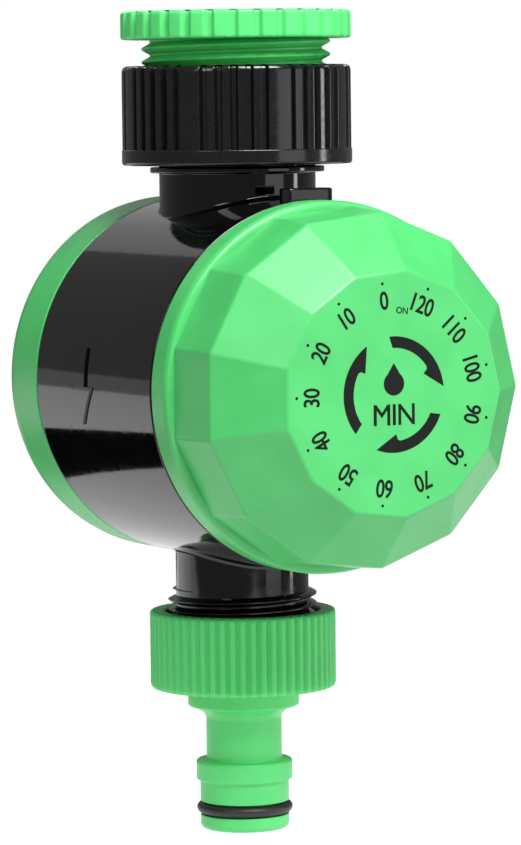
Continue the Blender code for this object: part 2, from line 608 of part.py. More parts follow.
def make_body():
    rim = BODY_RADIUS
    wall_back = BULKHEAD_FACE - BULKHEAD_WALL
    shell = [
        (0, BULKHEAD_FACE), (SHELL_RADIUS, BULKHEAD_FACE), (SHELL_RADIUS, BODY_FRONT),
        (rim, BODY_FRONT), (rim, BODY_BACK), (SHELL_RADIUS, BODY_BACK),
        (SHELL_RADIUS, wall_back), (0, wall_back),
    ]
    body = turned("valve_body", shell, BLACK, FINE, parent=dial_axis)
    block_side = solid((BLOCK_RADIUS, wall_back + BITE, -BLOCK_BACK))
    add(body, turned_tool("valve_block", block_side, parent=dial_axis))

    block_inside = AXIS_Z + math.sqrt(BLOCK_RADIUS**2 - INLET_BORE**2) - BITE
    ring_top = NUT_BOTTOM - STOP_RING_DROP
    inlet = solid(
        (NECK_RADIUS, NECK_TOP, ring_top), (STOP_RING_RADIUS, ring_top, ring_top - STOP_RING_HEIGHT),
        (NECK_RADIUS, ring_top - STOP_RING_HEIGHT, AXIS_Z + SHELL_RADIUS - 3 * BITE),
        (INLET_PIPE_RADIUS, AXIS_Z + SHELL_RADIUS - 3 * BITE, block_inside),
    )
    add(body, turned_tool("inlet_pipe", inlet))
    outlet_inside = AXIS_Z - math.sqrt(BLOCK_RADIUS**2 - OUTLET_BORE**2) + BITE
    outlet = solid((G34_ROOT, outlet_inside, OUTLET_END))
    add(body, turned_tool("outlet_pipe", outlet, THREAD_FACETS, turn=THREAD_TURN))
    thread_top = CONNECTOR_TOP + OUTLET_THREAD_LEAD
    outlet_turns = thread_turns(thread_top - OUTLET_END - GAP, G34_PITCH)
    outlet_thread = male_thread(G34_PITCH, G34_CREST, G34_ROOT, OUTLET_END + GAP, outlet_turns)
    add(body, tool("outlet_thread", outlet_thread))

    boss_places = [polar(BOSS_CIRCLE, angle) for angle in evenly(COVER_SCREW_COUNT, math.pi / 4)]
    bosses = rods(boss_places, BOSS_RADIUS, BODY_BACK, wall_back + BITE)
    add(body, tool("cover_bosses", bosses, parent=dial_axis))
    clock_places = [polar(PILLAR_CIRCLE, angle) for angle in PILLAR_ANGLES]
    posts = rods(clock_places, PILLAR_RADIUS + 1.5 * GAP, BULKHEAD_FACE - BITE, BACK_PLATE - GAP)
    add(body, tool("clock_posts", posts, parent=dial_axis))

    pointer_top = BODY_RADIUS + POINTER_RISE
    pointer_front = BODY_AHEAD - POINTER_SETBACK
    pointer = block(
        (-POINTER_WIDTH / 2, BODY_RADIUS - POINTER_RISE, pointer_front - POINTER_LENGTH),
        (POINTER_WIDTH / 2, pointer_top, pointer_front),
    )
    add(body, tool("pointer_lug", pointer, parent=dial_axis))
    arrow_foot = SHELL_WALL / 2 + BODY_RADIUS - math.sqrt(BODY_RADIUS**2 - ARROW_LENGTH**2 / 4)
    arrow = tool("flow_arrow", prism(arrow_outline(), -arrow_foot, 2 * ARROW_RISE))
    arrow.location = (-BODY_RADIUS, -ARROW_AHEAD, AXIS_Z)
    arrow.rotation_euler = (0, -math.pi / 2, 0)
    arrow_skin = solid((BODY_RADIUS + ARROW_RISE, BODY_FRONT, BODY_BACK))
    half_facet = math.pi / (2 * FINE)
    skin = turned_tool("arrow_skin", arrow_skin, 2 * FINE, parent=dial_axis, turn=half_facet)
    combine(arrow, "INTERSECT", skin)
    add(body, arrow)

    chamber = solid((CHAMBER_RADIUS, -CHAMBER_FLOOR, -BLOCK_BACK - GAP))
    cut(body, turned_tool("chamber", chamber, parent=dial_axis))
    wall_front = VALVE_WALL - CHAMBER_FLOOR
    gland_floor = BULKHEAD_FACE - GLAND_DEPTH
    shaft_way = solid(
        (GLAND_RADIUS, BULKHEAD_FACE + GAP, gland_floor),
        (SHAFT_RADIUS + RUNNING, gland_floor, CAVITY_TOP),
        (CAVITY_RADIUS, CAVITY_TOP, wall_front),
        (SHAFT_RADIUS + 2 * RUNNING, wall_front, -CHAMBER_FLOOR - GAP),
    )
    cut(body, turned_tool("shaft_way", shaft_way, parent=dial_axis))
    port = rods([(0, PORT_CIRCLE)], PORT_RADIUS, -CHAMBER_FLOOR - GAP, wall_front + GAP)
    cut(body, tool("valve_port", port, parent=dial_axis))

    counterbore = NECK_TOP - SLEEVE_LENGTH
    inlet_way = solid(
        (SLEEVE_RADIUS + GAP, NECK_TOP + GAP, counterbore), (INLET_BORE, counterbore, AXIS_Z + BORE_FLOOR)
    )
    cut(body, turned_tool("inlet_bore", inlet_way))
    inlet_depth = (BLOCK_BACK + CHAMBER_FLOOR) / 2
    chamber_reach = AXIS_Z + CHAMBER_RADIUS / 2
    port_down = rods([(0, inlet_depth)], INLET_PORT_RADIUS, chamber_reach, AXIS_Z + BORE_FLOOR + GAP)
    cut(body, tool("inlet_port", port_down))
    cut(body, turned_tool("outlet_bore", solid((OUTLET_BORE, AXIS_Z - BORE_FLOOR, OUTLET_END - GAP))))
    outlet_depth = -(CAVITY_TOP + wall_front) / 2
    port_low = AXIS_Z - BORE_FLOOR - GAP
    port_out = rods([(0, outlet_depth)], OUTLET_PORT_RADIUS, port_low, AXIS_Z - CAVITY_RADIUS / 2)
    cut(body, tool("outlet_port", port_out))

    screw_tip = COVER_SCREW_SEAT + COVER_SCREW_LENGTH
    holes = rods(boss_places, COVER_SCREW_RADIUS + GAP, BODY_BACK - GAP, screw_tip + GAP)
    cut(body, tool("cover_screw_holes", holes, parent=dial_axis))
    stub_holes = rods(clock_places, CLOCK_SCREW_RADIUS + GAP, BULKHEAD_FACE + GAP, BACK_PLATE)
    cut(body, tool("pillar_stub_holes", stub_holes, parent=dial_axis))
    cap_places = [polar(CAP_SCREW_CIRCLE, angle) for angle in evenly(CAP_SCREW_COUNT, CAP_SCREW_PHASE)]
    cap_holes = rods(cap_places, CAP_SCREW_RADIUS + GAP, -BLOCK_BACK - GAP, CAP_SCREW_LENGTH - BLOCK_BACK)
    cut(body, tool("cap_screw_holes", cap_holes, parent=dial_axis))


def arrow_outline():
    """A flow arrow that points down, its X axis up the body's side and its Y axis along the body."""
    head, stem = ARROW_WIDTH / 2, ARROW_STEM_WIDTH / 2
    half = ARROW_LENGTH / 2
    return [(-half, 0), (0, -head), (0, -stem), (half, -stem), (half, stem), (0, stem), (0, head)]


# Valve pieces


def make_valve():
    seat_front = -CHAMBER_FLOOR - GAP
    seat_back = seat_front - SEAT_HEIGHT
    bore = SHAFT_RADIUS + RUNNING
    seat_ring = ring(CHAMBER_RADIUS - GAP, bore, seat_front, seat_back)
    seat = turned("valve_seat", seat_ring, RUBBER, parent=dial_axis)
    port = rods([(0, PORT_CIRCLE)], PORT_RADIUS, seat_back - GAP, seat_front + GAP)
    cut(seat, tool("seat_port", port, parent=dial_axis))

    rotor_front = seat_back - RUNNING
    rotor_back = rotor_front - ROTOR_HEIGHT
    hub_back = rotor_back - ROTOR_HUB_HEIGHT
    rotor_side = [(ROTOR_RADIUS, rotor_front, rotor_back), (ROTOR_HUB_RADIUS, rotor_back, hub_back)]
    rotor_profile = hollow(rotor_side, [(SHAFT_RADIUS + GAP, rotor_front, hub_back)])
    rotor = turned("valve_rotor", rotor_profile, WHITE, parent=dial_axis)
    inner = PORT_CIRCLE - PORT_RADIUS - ROTOR_SLOT_MARGIN
    outer = PORT_CIRCLE + PORT_RADIUS + ROTOR_SLOT_MARGIN
    slot_section = [
        (inner, rotor_back - GAP), (outer, rotor_back - GAP),
        (outer, rotor_front + GAP), (inner, rotor_front + GAP),
    ]
    slot_turns = 1 - ROTOR_LAND / math.tau
    slot = tool("rotor_slot", swept(slot_section, slot_turns, MEDIUM), parent=dial_axis)
    slot.rotation_euler.z = math.pi / 2 + DIAL_ZERO_ANGLE / 2 + ROTOR_LAND / 2
    cut(rotor, slot)

    washer_back = -BLOCK_BACK - GAP
    washer_front = washer_back + SPRING_WASHER_HEIGHT
    washer = ring(SPRING_RADIUS + 2 * SPRING_WIRE, bore, washer_front, washer_back)
    turned("spring_washer", washer, STEEL, parent=dial_axis)
    low = washer_front + GAP + SPRING_WIRE
    high = rotor_back - GAP - SPRING_WIRE
    coil = []
    for index in range(SPRING_TURNS * COARSE + 1):
        x, y = polar(SPRING_RADIUS, math.tau * index / COARSE)
        coil.append((x, y, low + (high - low) * index / (SPRING_TURNS * COARSE)))
    wire("valve_spring", coil, SPRING_WIRE, STEEL)

    shaft_front = DIAL_CAVITY_FRONT - 2 * GAP
    shaft_back = washer_back - CAP_HEIGHT
    turned("drive_shaft", solid((SHAFT_RADIUS, shaft_front, shaft_back)), STEEL, parent=dial_axis)
    gland_floor = BULKHEAD_FACE - GLAND_DEPTH
    seal_centre = gland_floor + GAP / 2 + SHAFT_SEAL_SECTION
    seal_radius = (SHAFT_RADIUS + GLAND_RADIUS) / 2
    seal = torus_section(seal_radius, SHAFT_SEAL_SECTION, seal_centre)
    turned("shaft_seal", seal, RUBBER, ROUND, parent=dial_axis)
    seal_front = seal_centre + SHAFT_SEAL_SECTION + GAP / 2
    bush = hollow(
        [
            (GLAND_FLANGE_RADIUS, BULKHEAD_FACE + GAP + GLAND_FLANGE_HEIGHT, BULKHEAD_FACE + GAP),
            (GLAND_RADIUS - GAP, BULKHEAD_FACE + GAP, seal_front),
        ],
        [(bore, BULKHEAD_FACE + GAP + GLAND_FLANGE_HEIGHT, seal_front)],
    )
    turned("gland_bush", bush, WHITE, ROUND, parent=dial_axis)


def wire(name, points, radius, material):
    curve = bpy.data.curves.new(name, "CURVE")
    curve.dimensions = "3D"
    curve.bevel_depth = radius
    curve.bevel_resolution = 1
    curve.use_fill_caps = True
    spline = curve.splines.new("POLY")
    spline.points.add(len(points) - 1)
    for point, place_of_point in zip(spline.points, points):
        point.co = (*place_of_point, 1.0)
    curve.materials.append(material)
    obj = bpy.data.objects.new(name, curve)
    obj.parent = dial_axis
    parts.objects.link(obj)


def make_chamber_cap():
    face = -BLOCK_BACK - GAP
    back = face - CAP_HEIGHT
    plug_front = face + CAP_PLUG_LENGTH
    plug = CHAMBER_RADIUS - 2 * GAP
    groove = plug - CAP_GROOVE_DEPTH
    middle = (face + plug_front) / 2
    groove_half = CAP_SEAL_SECTION + GAP / 2
    pocket = SHAFT_RADIUS + RUNNING
    pocket_back = back - CAP_BOSS_HEIGHT / 2
    boss_back = back - CAP_BOSS_HEIGHT
    inner = plug - CAP_PLUG_WALL
    profile = [
        (0, pocket_back), (pocket, pocket_back), (pocket, face - GAP), (inner, face - GAP),
        (inner, plug_front), (plug, plug_front), (plug, middle + groove_half),
        (groove, middle + groove_half),
        (groove, middle - groove_half), (plug, middle - groove_half), (plug, face), (CAP_RADIUS, face),
        (CAP_RADIUS, back), (CAP_BOSS_RADIUS, back), (CAP_BOSS_RADIUS, boss_back), (0, boss_back),
    ]
    cap = turned("chamber_cap", profile, BLACK, parent=dial_axis)
    places = [polar(CAP_SCREW_CIRCLE, angle) for angle in evenly(CAP_SCREW_COUNT, CAP_SCREW_PHASE)]
    holes = rods(places, CAP_SCREW_RADIUS + GAP, back - GAP, face + GAP)
    cut(cap, tool("cap_holes", holes, parent=dial_axis))
    seal = torus_section(groove + GAP / 2 + CAP_SEAL_SECTION, CAP_SEAL_SECTION, middle)
    turned("chamber_seal", seal, RUBBER, parent=dial_axis)
    head = (2 * CAP_SCREW_RADIUS, CAP_SCREW_RADIUS, 0)
    profile = solid(head, (CAP_SCREW_RADIUS, 0, GAP - CAP_SCREW_LENGTH))
    for index, (x, y) in enumerate(places, 1):
        screw(f"cap_screw_{index}", profile, (x, y, back - GAP), math.pi)


def screw(name, profile, at, tilt=0.0):
    """A plain-headed screw, the underside of its head here. A tilt of half a turn points it forward."""
    turned(name, profile, STEEL, COARSE, parent=dial_axis, at=at).rotation_euler.x = tilt


# Rear cover


def make_rear_cover():
    front, back = -BODY_BEHIND, COVER_BACK
    inner = BODY_RADIUS - SHELL_WALL
    side_points = [(BODY_RADIUS, front)]
    for index in range(4):
        out, down = polar(COVER_ROUND, -math.pi / 2 * index / 3)
        side_points.append((BODY_RADIUS - COVER_ROUND + out, back + COVER_ROUND + down))
    profile = [(0, back + COVER_WALL), (inner, back + COVER_WALL), (inner, front), *side_points, (0, back)]
    cover = turned("rear_cover", profile, GREEN, FINE, parent=dial_axis)
    places = [polar(BOSS_CIRCLE, angle) for angle in evenly(COVER_SCREW_COUNT, math.pi / 4)]
    posts = rods(places, BOSS_RADIUS, back + COVER_WALL - BITE, front)
    add(cover, tool("cover_posts", posts, parent=dial_axis))
    holes = rods(places, COVER_SCREW_RADIUS + GAP, back - GAP, front + GAP)
    cut(cover, tool("cover_holes", holes, parent=dial_axis))
    counterbores = rods(places, COVER_SCREW_HEAD_RADIUS + GAP, back - GAP, COVER_SCREW_SEAT + GAP)
    cut(cover, tool("cover_counterbores", counterbores, parent=dial_axis))
    head = (COVER_SCREW_HEAD_RADIUS, COVER_SCREW_HEAD_HEIGHT, 0)
    profile = solid(head, (COVER_SCREW_RADIUS, 0, -COVER_SCREW_LENGTH))
    for index, (x, y) in enumerate(places, 1):
        screw(f"rear_cover_screw_{index}", profile, (x, y, COVER_SCREW_SEAT), math.pi)


# Dial


def cone(radius_low, radius_high, low, high, sides, name):
    mesh = bpy.data.meshes.new(name)
    shape = bmesh.new()
    bmesh.ops.create_cone(
        shape, cap_ends=True, segments=sides, radius1=radius_low, radius2=radius_high, depth=high - low
    )
    bmesh.ops.translate(shape, verts=shape.verts, vec=(0, 0, (low + high) / 2))
    shape.to_mesh(mesh)
    shape.free()
    return mesh


def make_dial():
    flange_front = BODY_AHEAD + DIAL_FLANGE_DEPTH
    shoulder = BODY_AHEAD + DIAL_SHOULDER_DEPTH
    round_start = flange_front - DIAL_FLANGE_ROUND
    flange = [
        (0, flange_front), (BODY_RADIUS - DIAL_FLANGE_ROUND, flange_front), (BODY_RADIUS, round_start),
        (BODY_RADIUS, BODY_AHEAD), (0, BODY_AHEAD),
    ]
    dial = turned("dial", flange, GREEN, FINE, parent=dial_axis)
    # Flats lie at the marks, so a corner stands half a side from the zero mark.
    corner = math.pi / 2 + DIAL_ZERO_ANGLE + math.pi / DIAL_SIDES
    skirt = cone(DIAL_BASE_RADIUS, DIAL_SHOULDER_RADIUS, flange_front - BITE, shoulder, DIAL_SIDES, "skirt")
    add(dial, tool("dial_skirt", skirt, parent=dial_axis, turn=corner))
    crown = cone(DIAL_SHOULDER_RADIUS, DIAL_FACE_RADIUS, shoulder, DIAL_FRONT, DIAL_SIDES, "crown")
    add(dial, tool("dial_crown", crown, parent=dial_axis, turn=corner))
    slope = (DIAL_SHOULDER_RADIUS - DIAL_FACE_RADIUS) / (DIAL_FRONT - shoulder)
    narrow = DIAL_CAVITY_RADIUS - slope * (DIAL_CAVITY_FRONT - shoulder) * FLAT_SHARE
    cavity = [
        (0, DIAL_CAVITY_FRONT), (narrow - GAP, DIAL_CAVITY_FRONT),
        (DIAL_CAVITY_RADIUS, CAVITY_SHOULDER), (DIAL_CAVITY_RADIUS, BODY_AHEAD - GAP),
        (0, BODY_AHEAD - GAP),
    ]
    cut(dial, turned_tool("dial_cavity", cavity, FINE, parent=dial_axis))
    hub_back = CLOCK_HEADS_FRONT + DIAL_HUB_CLEARANCE
    hub = ring(DIAL_HUB_RADIUS, SHAFT_RADIUS + GAP, DIAL_CAVITY_FRONT + BITE, hub_back)
    add(dial, turned_tool("dial_hub", hub, ROUND, parent=dial_axis))


# Clockwork


def arbor_place(index):
    """The second arbor is 0, the third 1, the escape arbor 2 and the balance staff 3."""
    return polar(ARBOR_CIRCLE, FIRST_ARBOR_ANGLE + index * ARBOR_STEP)


def make_plates():
    pillar_places = [polar(PILLAR_CIRCLE, angle) for angle in PILLAR_ANGLES]
    arbors = [arbor_place(index) for index in range(4)]
    for name, low in (("clock_back_plate", BACK_PLATE), ("clock_front_plate", FRONT_PLATE)):
        high = low + PLATE_HEIGHT
        bore = SHAFT_RADIUS + 2 * RUNNING
        plate = turned(name, ring(PLATE_RADIUS, bore, high, low), BRASS, parent=dial_axis)
        pivots = rods(arbors, ARBOR_RADIUS + RUNNING, low - GAP, high + GAP)
        cut(plate, tool(f"{name}_pivots", pivots, parent=dial_axis))
        holes = rods(pillar_places, CLOCK_SCREW_RADIUS + GAP, low - GAP, high + GAP)
        cut(plate, tool(f"{name}_holes", holes, parent=dial_axis))
    low, high = TRAIN_FLOOR + GAP, FRONT_PLATE - GAP
    bore_floor = high - CLOCK_SCREW_LENGTH
    bore = CLOCK_SCREW_RADIUS + GAP
    stub_back = BULKHEAD_FACE + 2 * GAP
    pillar = [
        (0, bore_floor), (bore, bore_floor), (bore, high), (PILLAR_RADIUS, high), (PILLAR_RADIUS, low),
        (CLOCK_SCREW_RADIUS, low), (CLOCK_SCREW_RADIUS, stub_back), (0, stub_back),
    ]
    head = (CLOCK_SCREW_HEAD_RADIUS, CLOCK_SCREW_HEAD_HEIGHT, 0)
    screw_profile = solid(head, (CLOCK_SCREW_RADIUS, 0, -PLATE_HEIGHT - CLOCK_SCREW_LENGTH))
    for index, (x, y) in enumerate(pillar_places, 1):
        turned(f"clock_pillar_{index}", pillar, BRASS, COARSE, parent=dial_axis, at=(x, y, 0))
        screw(f"clock_screw_{index}", screw_profile, (x, y, CLOCK_HEADS_FRONT - CLOCK_SCREW_HEAD_HEIGHT))


def wheel(name, outline, low, bore, at, turn):
    """A brass wheel with a plain bore."""
    high = low + WHEEL_THICKNESS
    obj = place(name, prism(outline, low, high), BRASS, parent=dial_axis, at=(*at, 0), turn=turn)
    cut(obj, tool(f"{name}_bore", rods([at], bore, low - GAP, high + GAP), parent=dial_axis))


def gear(name, teeth, level, bore, at, turn):
    """A wheel whose middle meets the middle of the pinion at this level."""
    low = TRAIN_FLOOR + level + (PINION_LENGTH - WHEEL_THICKNESS) / 2
    wheel(name, gear_outline(teeth), low, bore, at, turn)


def meshing_turn(driver_turn, driver_teeth, driver_place, teeth, at):
    """How far to turn a gear so that a gap of its faces the driver's tooth nearest the line of centres."""
    line = math.atan2(at[1] - driver_place[1], at[0] - driver_place[0])
    driver_pitch = math.tau / driver_teeth
    ahead = (line - driver_turn) % driver_pitch
    lag = ahead / driver_pitch * math.tau / teeth
    return line + math.pi + math.pi / teeth + lag


def arbor(name, at, pinion_level, turn):
    """A steel arbor with an eight-leaf pinion cut on it."""
    rod = solid((ARBOR_RADIUS, FRONT_PLATE + PLATE_HEIGHT, BACK_PLATE))
    obj = turned(name, rod, STEEL, COARSE, parent=dial_axis, at=(*at, 0))
    if pinion_level is not None:
        bottom = TRAIN_FLOOR + pinion_level
        leaves = prism(gear_outline(PINION_TEETH), bottom, bottom + PINION_LENGTH)
        add(obj, tool(f"{name}_pinion", leaves, parent=dial_axis, at=(*at, 0), turn=turn))


def make_train():
    centre = (0.0, 0.0)
    second, third, escape, balance = [arbor_place(index) for index in range(4)]
    fit = ARBOR_RADIUS + GAP
    gear("great_wheel", GREAT_TEETH, GREAT_LEVEL, SHAFT_RADIUS + GAP, centre, 0.0)
    second_turn = meshing_turn(0.0, GREAT_TEETH, centre, PINION_TEETH, second)
    arbor("second_arbor", second, GREAT_LEVEL, second_turn)
    gear("second_wheel", WHEEL_TEETH, SECOND_LEVEL, fit, second, second_turn)
    third_turn = meshing_turn(second_turn, WHEEL_TEETH, second, PINION_TEETH, third)
    arbor("third_arbor", third, THIRD_PINION_LEVEL, third_turn)
    gear("third_wheel", WHEEL_TEETH, THIRD_LEVEL, fit, third, third_turn)
    escape_turn = meshing_turn(third_turn, WHEEL_TEETH, third, PINION_TEETH, escape)
    arbor("escape_arbor", escape, THIRD_LEVEL, escape_turn)
    arbor("balance_staff", balance, None, 0.0)

    radius = ESCAPE_SHARE * GEAR_MODULE * WHEEL_TEETH / 2
    root = ESCAPE_ROOT_SHARE * radius
    pitch = math.tau / ESCAPE_TEETH
    points = []
    for tip_angle in evenly(ESCAPE_TEETH):
        points.append(polar(radius, tip_angle))
        points.append(polar(root, tip_angle + ESCAPE_TOOTH_FRONT * pitch))
        points.append(polar(root, tip_angle + ESCAPE_TOOTH_BACK * pitch))
    line = math.atan2(balance[1] - escape[1], balance[0] - escape[0])
    wheel("escape_wheel", points, TRAIN_FLOOR + SECOND_LEVEL, fit, escape, line + pitch / 2)
    make_balance(balance, line + math.pi, ARBOR_SPACING - radius, fit)


def make_balance(at, towards_escape, room, fit):
    """The balance wheel and, on the same staff, the pallet lever that reaches to the escape wheel."""
    low = TRAIN_FLOOR + BALANCE_LEVEL
    high = low + WHEEL_THICKNESS
    rim = ring(BALANCE_RADIUS, BALANCE_RADIUS - BALANCE_RIM, high, low)
    balance = turned("balance_wheel", rim, BRASS, parent=dial_axis, at=(*at, 0))
    reach = BALANCE_RADIUS - BALANCE_RIM / 2
    spoke = block((-reach, -LEVER_WIDTH / 2, low), (reach, LEVER_WIDTH / 2, high))
    add(balance, tool("balance_spoke", spoke, parent=dial_axis, at=(*at, 0)))
    hub = rods([(0, 0)], 2 * fit, low, high)
    add(balance, tool("balance_hub", hub, parent=dial_axis, at=(*at, 0)))
    cut(balance, tool("balance_bore", rods([at], fit, low - GAP, high + GAP), parent=dial_axis))

    lever_low = TRAIN_FLOOR + SECOND_LEVEL
    lever_high = lever_low + WHEEL_THICKNESS
    tip = room - 3 * GAP
    outside, inside = PALLET_OUTSIDE * LEVER_WIDTH, PALLET_INSIDE * LEVER_WIDTH
    outline = [
        (-2 * fit, -LEVER_WIDTH), (tip, -outside), (tip, -inside), (2 * fit, 0),
        (tip, inside), (tip, outside), (-2 * fit, LEVER_WIDTH),
    ]
    shape = prism(outline, lever_low, lever_high)
    lever = place("pallet_lever", shape, STEEL, parent=dial_axis, at=(*at, 0), turn=towards_escape)
    cut(lever, tool("lever_bore", rods([at], fit, lever_low - GAP, lever_high + GAP), parent=dial_axis))


def make_mainspring():
    low = TRAIN_FLOOR + 2 * GAP
    inner = SHAFT_RADIUS + GAP + MAINSPRING_STRIP
    middle = []
    for index in range(MAINSPRING_TURNS * MAINSPRING_FACETS + 1):
        turns = index / MAINSPRING_FACETS
        middle.append((inner + MAINSPRING_PITCH * turns, math.tau * turns))
    half = MAINSPRING_STRIP / 2
    outline = [polar(radius + half, angle) for radius, angle in middle]
    outline += [polar(radius - half, angle) for radius, angle in reversed(middle)]
    place("mainspring", prism(outline, low, low + MAINSPRING_WIDTH), STEEL, parent=dial_axis)


# Hose connector


def make_connector():
    nut_bottom = CONNECTOR_TOP - CONNECTOR_NUT_HEIGHT
    half_rib = math.pi / CONNECTOR_RIBS
    ribs = notched(CONNECTOR_RADIUS, CONNECTOR_RIB_DEPTH, half_rib, evenly(CONNECTOR_RIBS))
    connector = place("hose_connector", prism(ribs, nut_bottom, CONNECTOR_TOP), GREEN)
    collar_bottom = nut_bottom - CONNECTOR_COLLAR_HEIGHT
    ridge_top = STEM_TOP - STEM_LENGTH
    ridge_bottom = ridge_top - RIDGE_HEIGHT
    oring_height = TIP_BOTTOM + ORING_RISE
    oring_radius = BARREL_RADIUS + ORING_PROUD - ORING_SECTION
    groove = oring_radius - ORING_SECTION - GAP
    groove_half = ORING_SECTION + GAP
    stem = [
        (0, nut_bottom + BITE), (CONNECTOR_COLLAR_RADIUS, nut_bottom + BITE),
        (CONNECTOR_COLLAR_RADIUS, collar_bottom), (STEM_RADIUS, STEM_TOP), (STEM_RADIUS, ridge_top),
        (RIDGE_RADIUS, ridge_top - 2 * GAP),
        (RIDGE_RADIUS, ridge_bottom + 2 * GAP), (BARREL_RADIUS, ridge_bottom),
        (BARREL_RADIUS, oring_height + groove_half), (groove, oring_height + groove_half),
        (groove, oring_height - groove_half), (BARREL_RADIUS, oring_height - groove_half),
        (BARREL_RADIUS, TIP_BOTTOM + TIP_ROUND), (BARREL_RADIUS - TIP_ROUND, TIP_BOTTOM), (0, TIP_BOTTOM),
    ]
    add(connector, turned_tool("connector_stem", stem))
    wide = G34_CREST + THREAD_CLEARANCE
    cavity = (wide, CONNECTOR_TOP + GAP, CAVITY_FLOOR)
    bore = solid(cavity, (CONNECTOR_BORE, CAVITY_FLOOR, TIP_BOTTOM - GAP))
    cut(connector, turned_tool("connector_bore", bore, THREAD_FACETS, turn=THREAD_TURN))
    mesh_low = OUTLET_END + GAP + G34_PITCH / 2
    turns = thread_turns(CONNECTOR_TOP - mesh_low - GAP, G34_PITCH)
    add(connector, tool("connector_thread", female_thread(G34_PITCH, G34_CREST, G34_ROOT, mesh_low, turns)))
    oring = torus_section(oring_radius, ORING_SECTION, oring_height, ORING_FACETS)
    turned("connector_oring", oring, RUBBER)
    washer_top = OUTLET_END - GAP
    washer_bottom = max(CAVITY_FLOOR + GAP, washer_top - CONNECTOR_WASHER_HEIGHT)
    washer = ring(wide - GAP, CONNECTOR_COLLAR_RADIUS - GAP, washer_top, washer_bottom)
    turned("connector_washer", washer, RUBBER)


make_adapter()
make_inlet()
make_body()
make_valve()
make_chamber_cap()
make_rear_cover()
make_dial()
make_plates()
make_train()
make_mainspring()
make_connector()
bpy.context.view_layer.update()
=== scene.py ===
import math

import bmesh
import bpy
from mathutils import Matrix, Vector


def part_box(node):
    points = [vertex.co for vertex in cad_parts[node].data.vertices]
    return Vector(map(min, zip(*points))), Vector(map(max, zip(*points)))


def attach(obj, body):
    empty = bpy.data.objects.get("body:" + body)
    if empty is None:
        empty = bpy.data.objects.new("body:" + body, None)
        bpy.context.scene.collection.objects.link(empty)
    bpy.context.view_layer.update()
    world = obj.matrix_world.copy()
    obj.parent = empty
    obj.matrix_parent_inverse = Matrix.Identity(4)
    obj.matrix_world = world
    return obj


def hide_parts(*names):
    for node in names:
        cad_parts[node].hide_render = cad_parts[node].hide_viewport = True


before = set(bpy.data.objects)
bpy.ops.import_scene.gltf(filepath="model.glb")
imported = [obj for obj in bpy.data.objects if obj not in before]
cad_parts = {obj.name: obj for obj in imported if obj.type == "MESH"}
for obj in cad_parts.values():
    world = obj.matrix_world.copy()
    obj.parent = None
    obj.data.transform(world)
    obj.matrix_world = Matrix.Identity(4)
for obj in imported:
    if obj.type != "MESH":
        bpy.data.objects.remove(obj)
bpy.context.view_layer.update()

MM = 0.001

# Places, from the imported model
ADAPTER_LOW, ADAPTER_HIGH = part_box("thread_adapter")
NUT_LOW, NUT_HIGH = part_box("inlet_nut")
BODY_LOW, BODY_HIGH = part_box("valve_body")
COVER_LOW, COVER_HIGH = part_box("rear_cover")
DIAL_LOW, DIAL_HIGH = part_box("dial")
CONNECTOR_LOW, CONNECTOR_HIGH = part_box("hose_connector")
ORING_LOW, ORING_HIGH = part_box("connector_oring")

AXIS_Z = (DIAL_LOW.z + DIAL_HIGH.z) / 2
CASE_RADIUS = DIAL_HIGH.x
# Under this matrix +Z is forward, out of the dial's face, +Y is up and +X is to the right.
DIAL_FRAME = Matrix.Translation((0, 0, AXIS_Z)) @ Matrix.Rotation(math.pi / 2, 4, "X")

# Sizes of the mouldings
G1_PITCH, G1_CREST, G1_ROOT = 2.309 * MM, 16.5 * MM, 15.0 * MM
G34_PITCH, G34_CREST, G34_ROOT = 1.814 * MM, 13.09 * MM, 11.63 * MM
THREAD_CLEARANCE = 0.4 * MM
NECK_RADIUS = 13.63 * MM
CASE_BORE = CASE_RADIUS - 2.4 * MM  # inside the wall of the body and of the rear cover
COVER_SCREW_CIRCLE = CASE_RADIUS - 5.2 * MM
DIAL_SIDES = 13
DIAL_ZERO = math.radians(6.39)  # of the zero mark, anticlockwise from the top
DIAL_STEP = math.tau / DIAL_SIDES
DIAL_CAVITY = 27.55 * MM
DIAL_HUB, DIAL_HUB_BORE, DIAL_HUB_DEPTH = 5.0 * MM, 2.6 * MM, 12.6 * MM
PRINT_HEIGHT = 0.03 * MM
PRINT_SINK = 0.015 * MM  # how far a print starts under the face, so that no gap shows
FACET_AREA = 20 * MM**2  # every flat of the dial is larger

# Tolerances of the meshes
WELD = 0.001 * MM
HOLD = 0.08 * MM  # how far outside a fillet the shading of a straight wall is held
SHARP = math.radians(40)  # edges sharper than this are drawn as corners


# Nodes and materials


def linear(hex_colour):
    """A linear RGBA colour from an sRGB hex value."""
    channels = [int(hex_colour[i : i + 2], 16) / 255 for i in (1, 3, 5)]
    return (*[c / 12.92 if c <= 0.04045 else ((c + 0.055) / 1.055) ** 2.4 for c in channels], 1.0)


def node(tree, kind, inputs=(), **settings):
    """Adds a node. settings are its own properties, and inputs maps each socket to a constant or to a socket."""
    made = tree.nodes.new(kind)
    for name, value in settings.items():
        setattr(made, name, value)
    for key, value in dict(inputs).items():
        if isinstance(value, bpy.types.NodeSocket):
            tree.links.new(value, made.inputs[key])
        else:
            made.inputs[key].default_value = value
    return made


def new_material(name, roughness, ior=1.5, metallic=0.0, **constants):
    """A Principled material with its constants on the shader's own sockets."""
    material = bpy.data.materials.new(name)
    material.use_nodes = True
    tree = material.node_tree
    shader = tree.nodes["Principled BSDF"]
    shader.inputs["Roughness"].default_value = roughness
    shader.inputs["IOR"].default_value = ior
    shader.inputs["Metallic"].default_value = metallic
    for socket, value in constants.items():
        shader.inputs[socket.replace("_", " ")].default_value = value
    return material, tree, shader


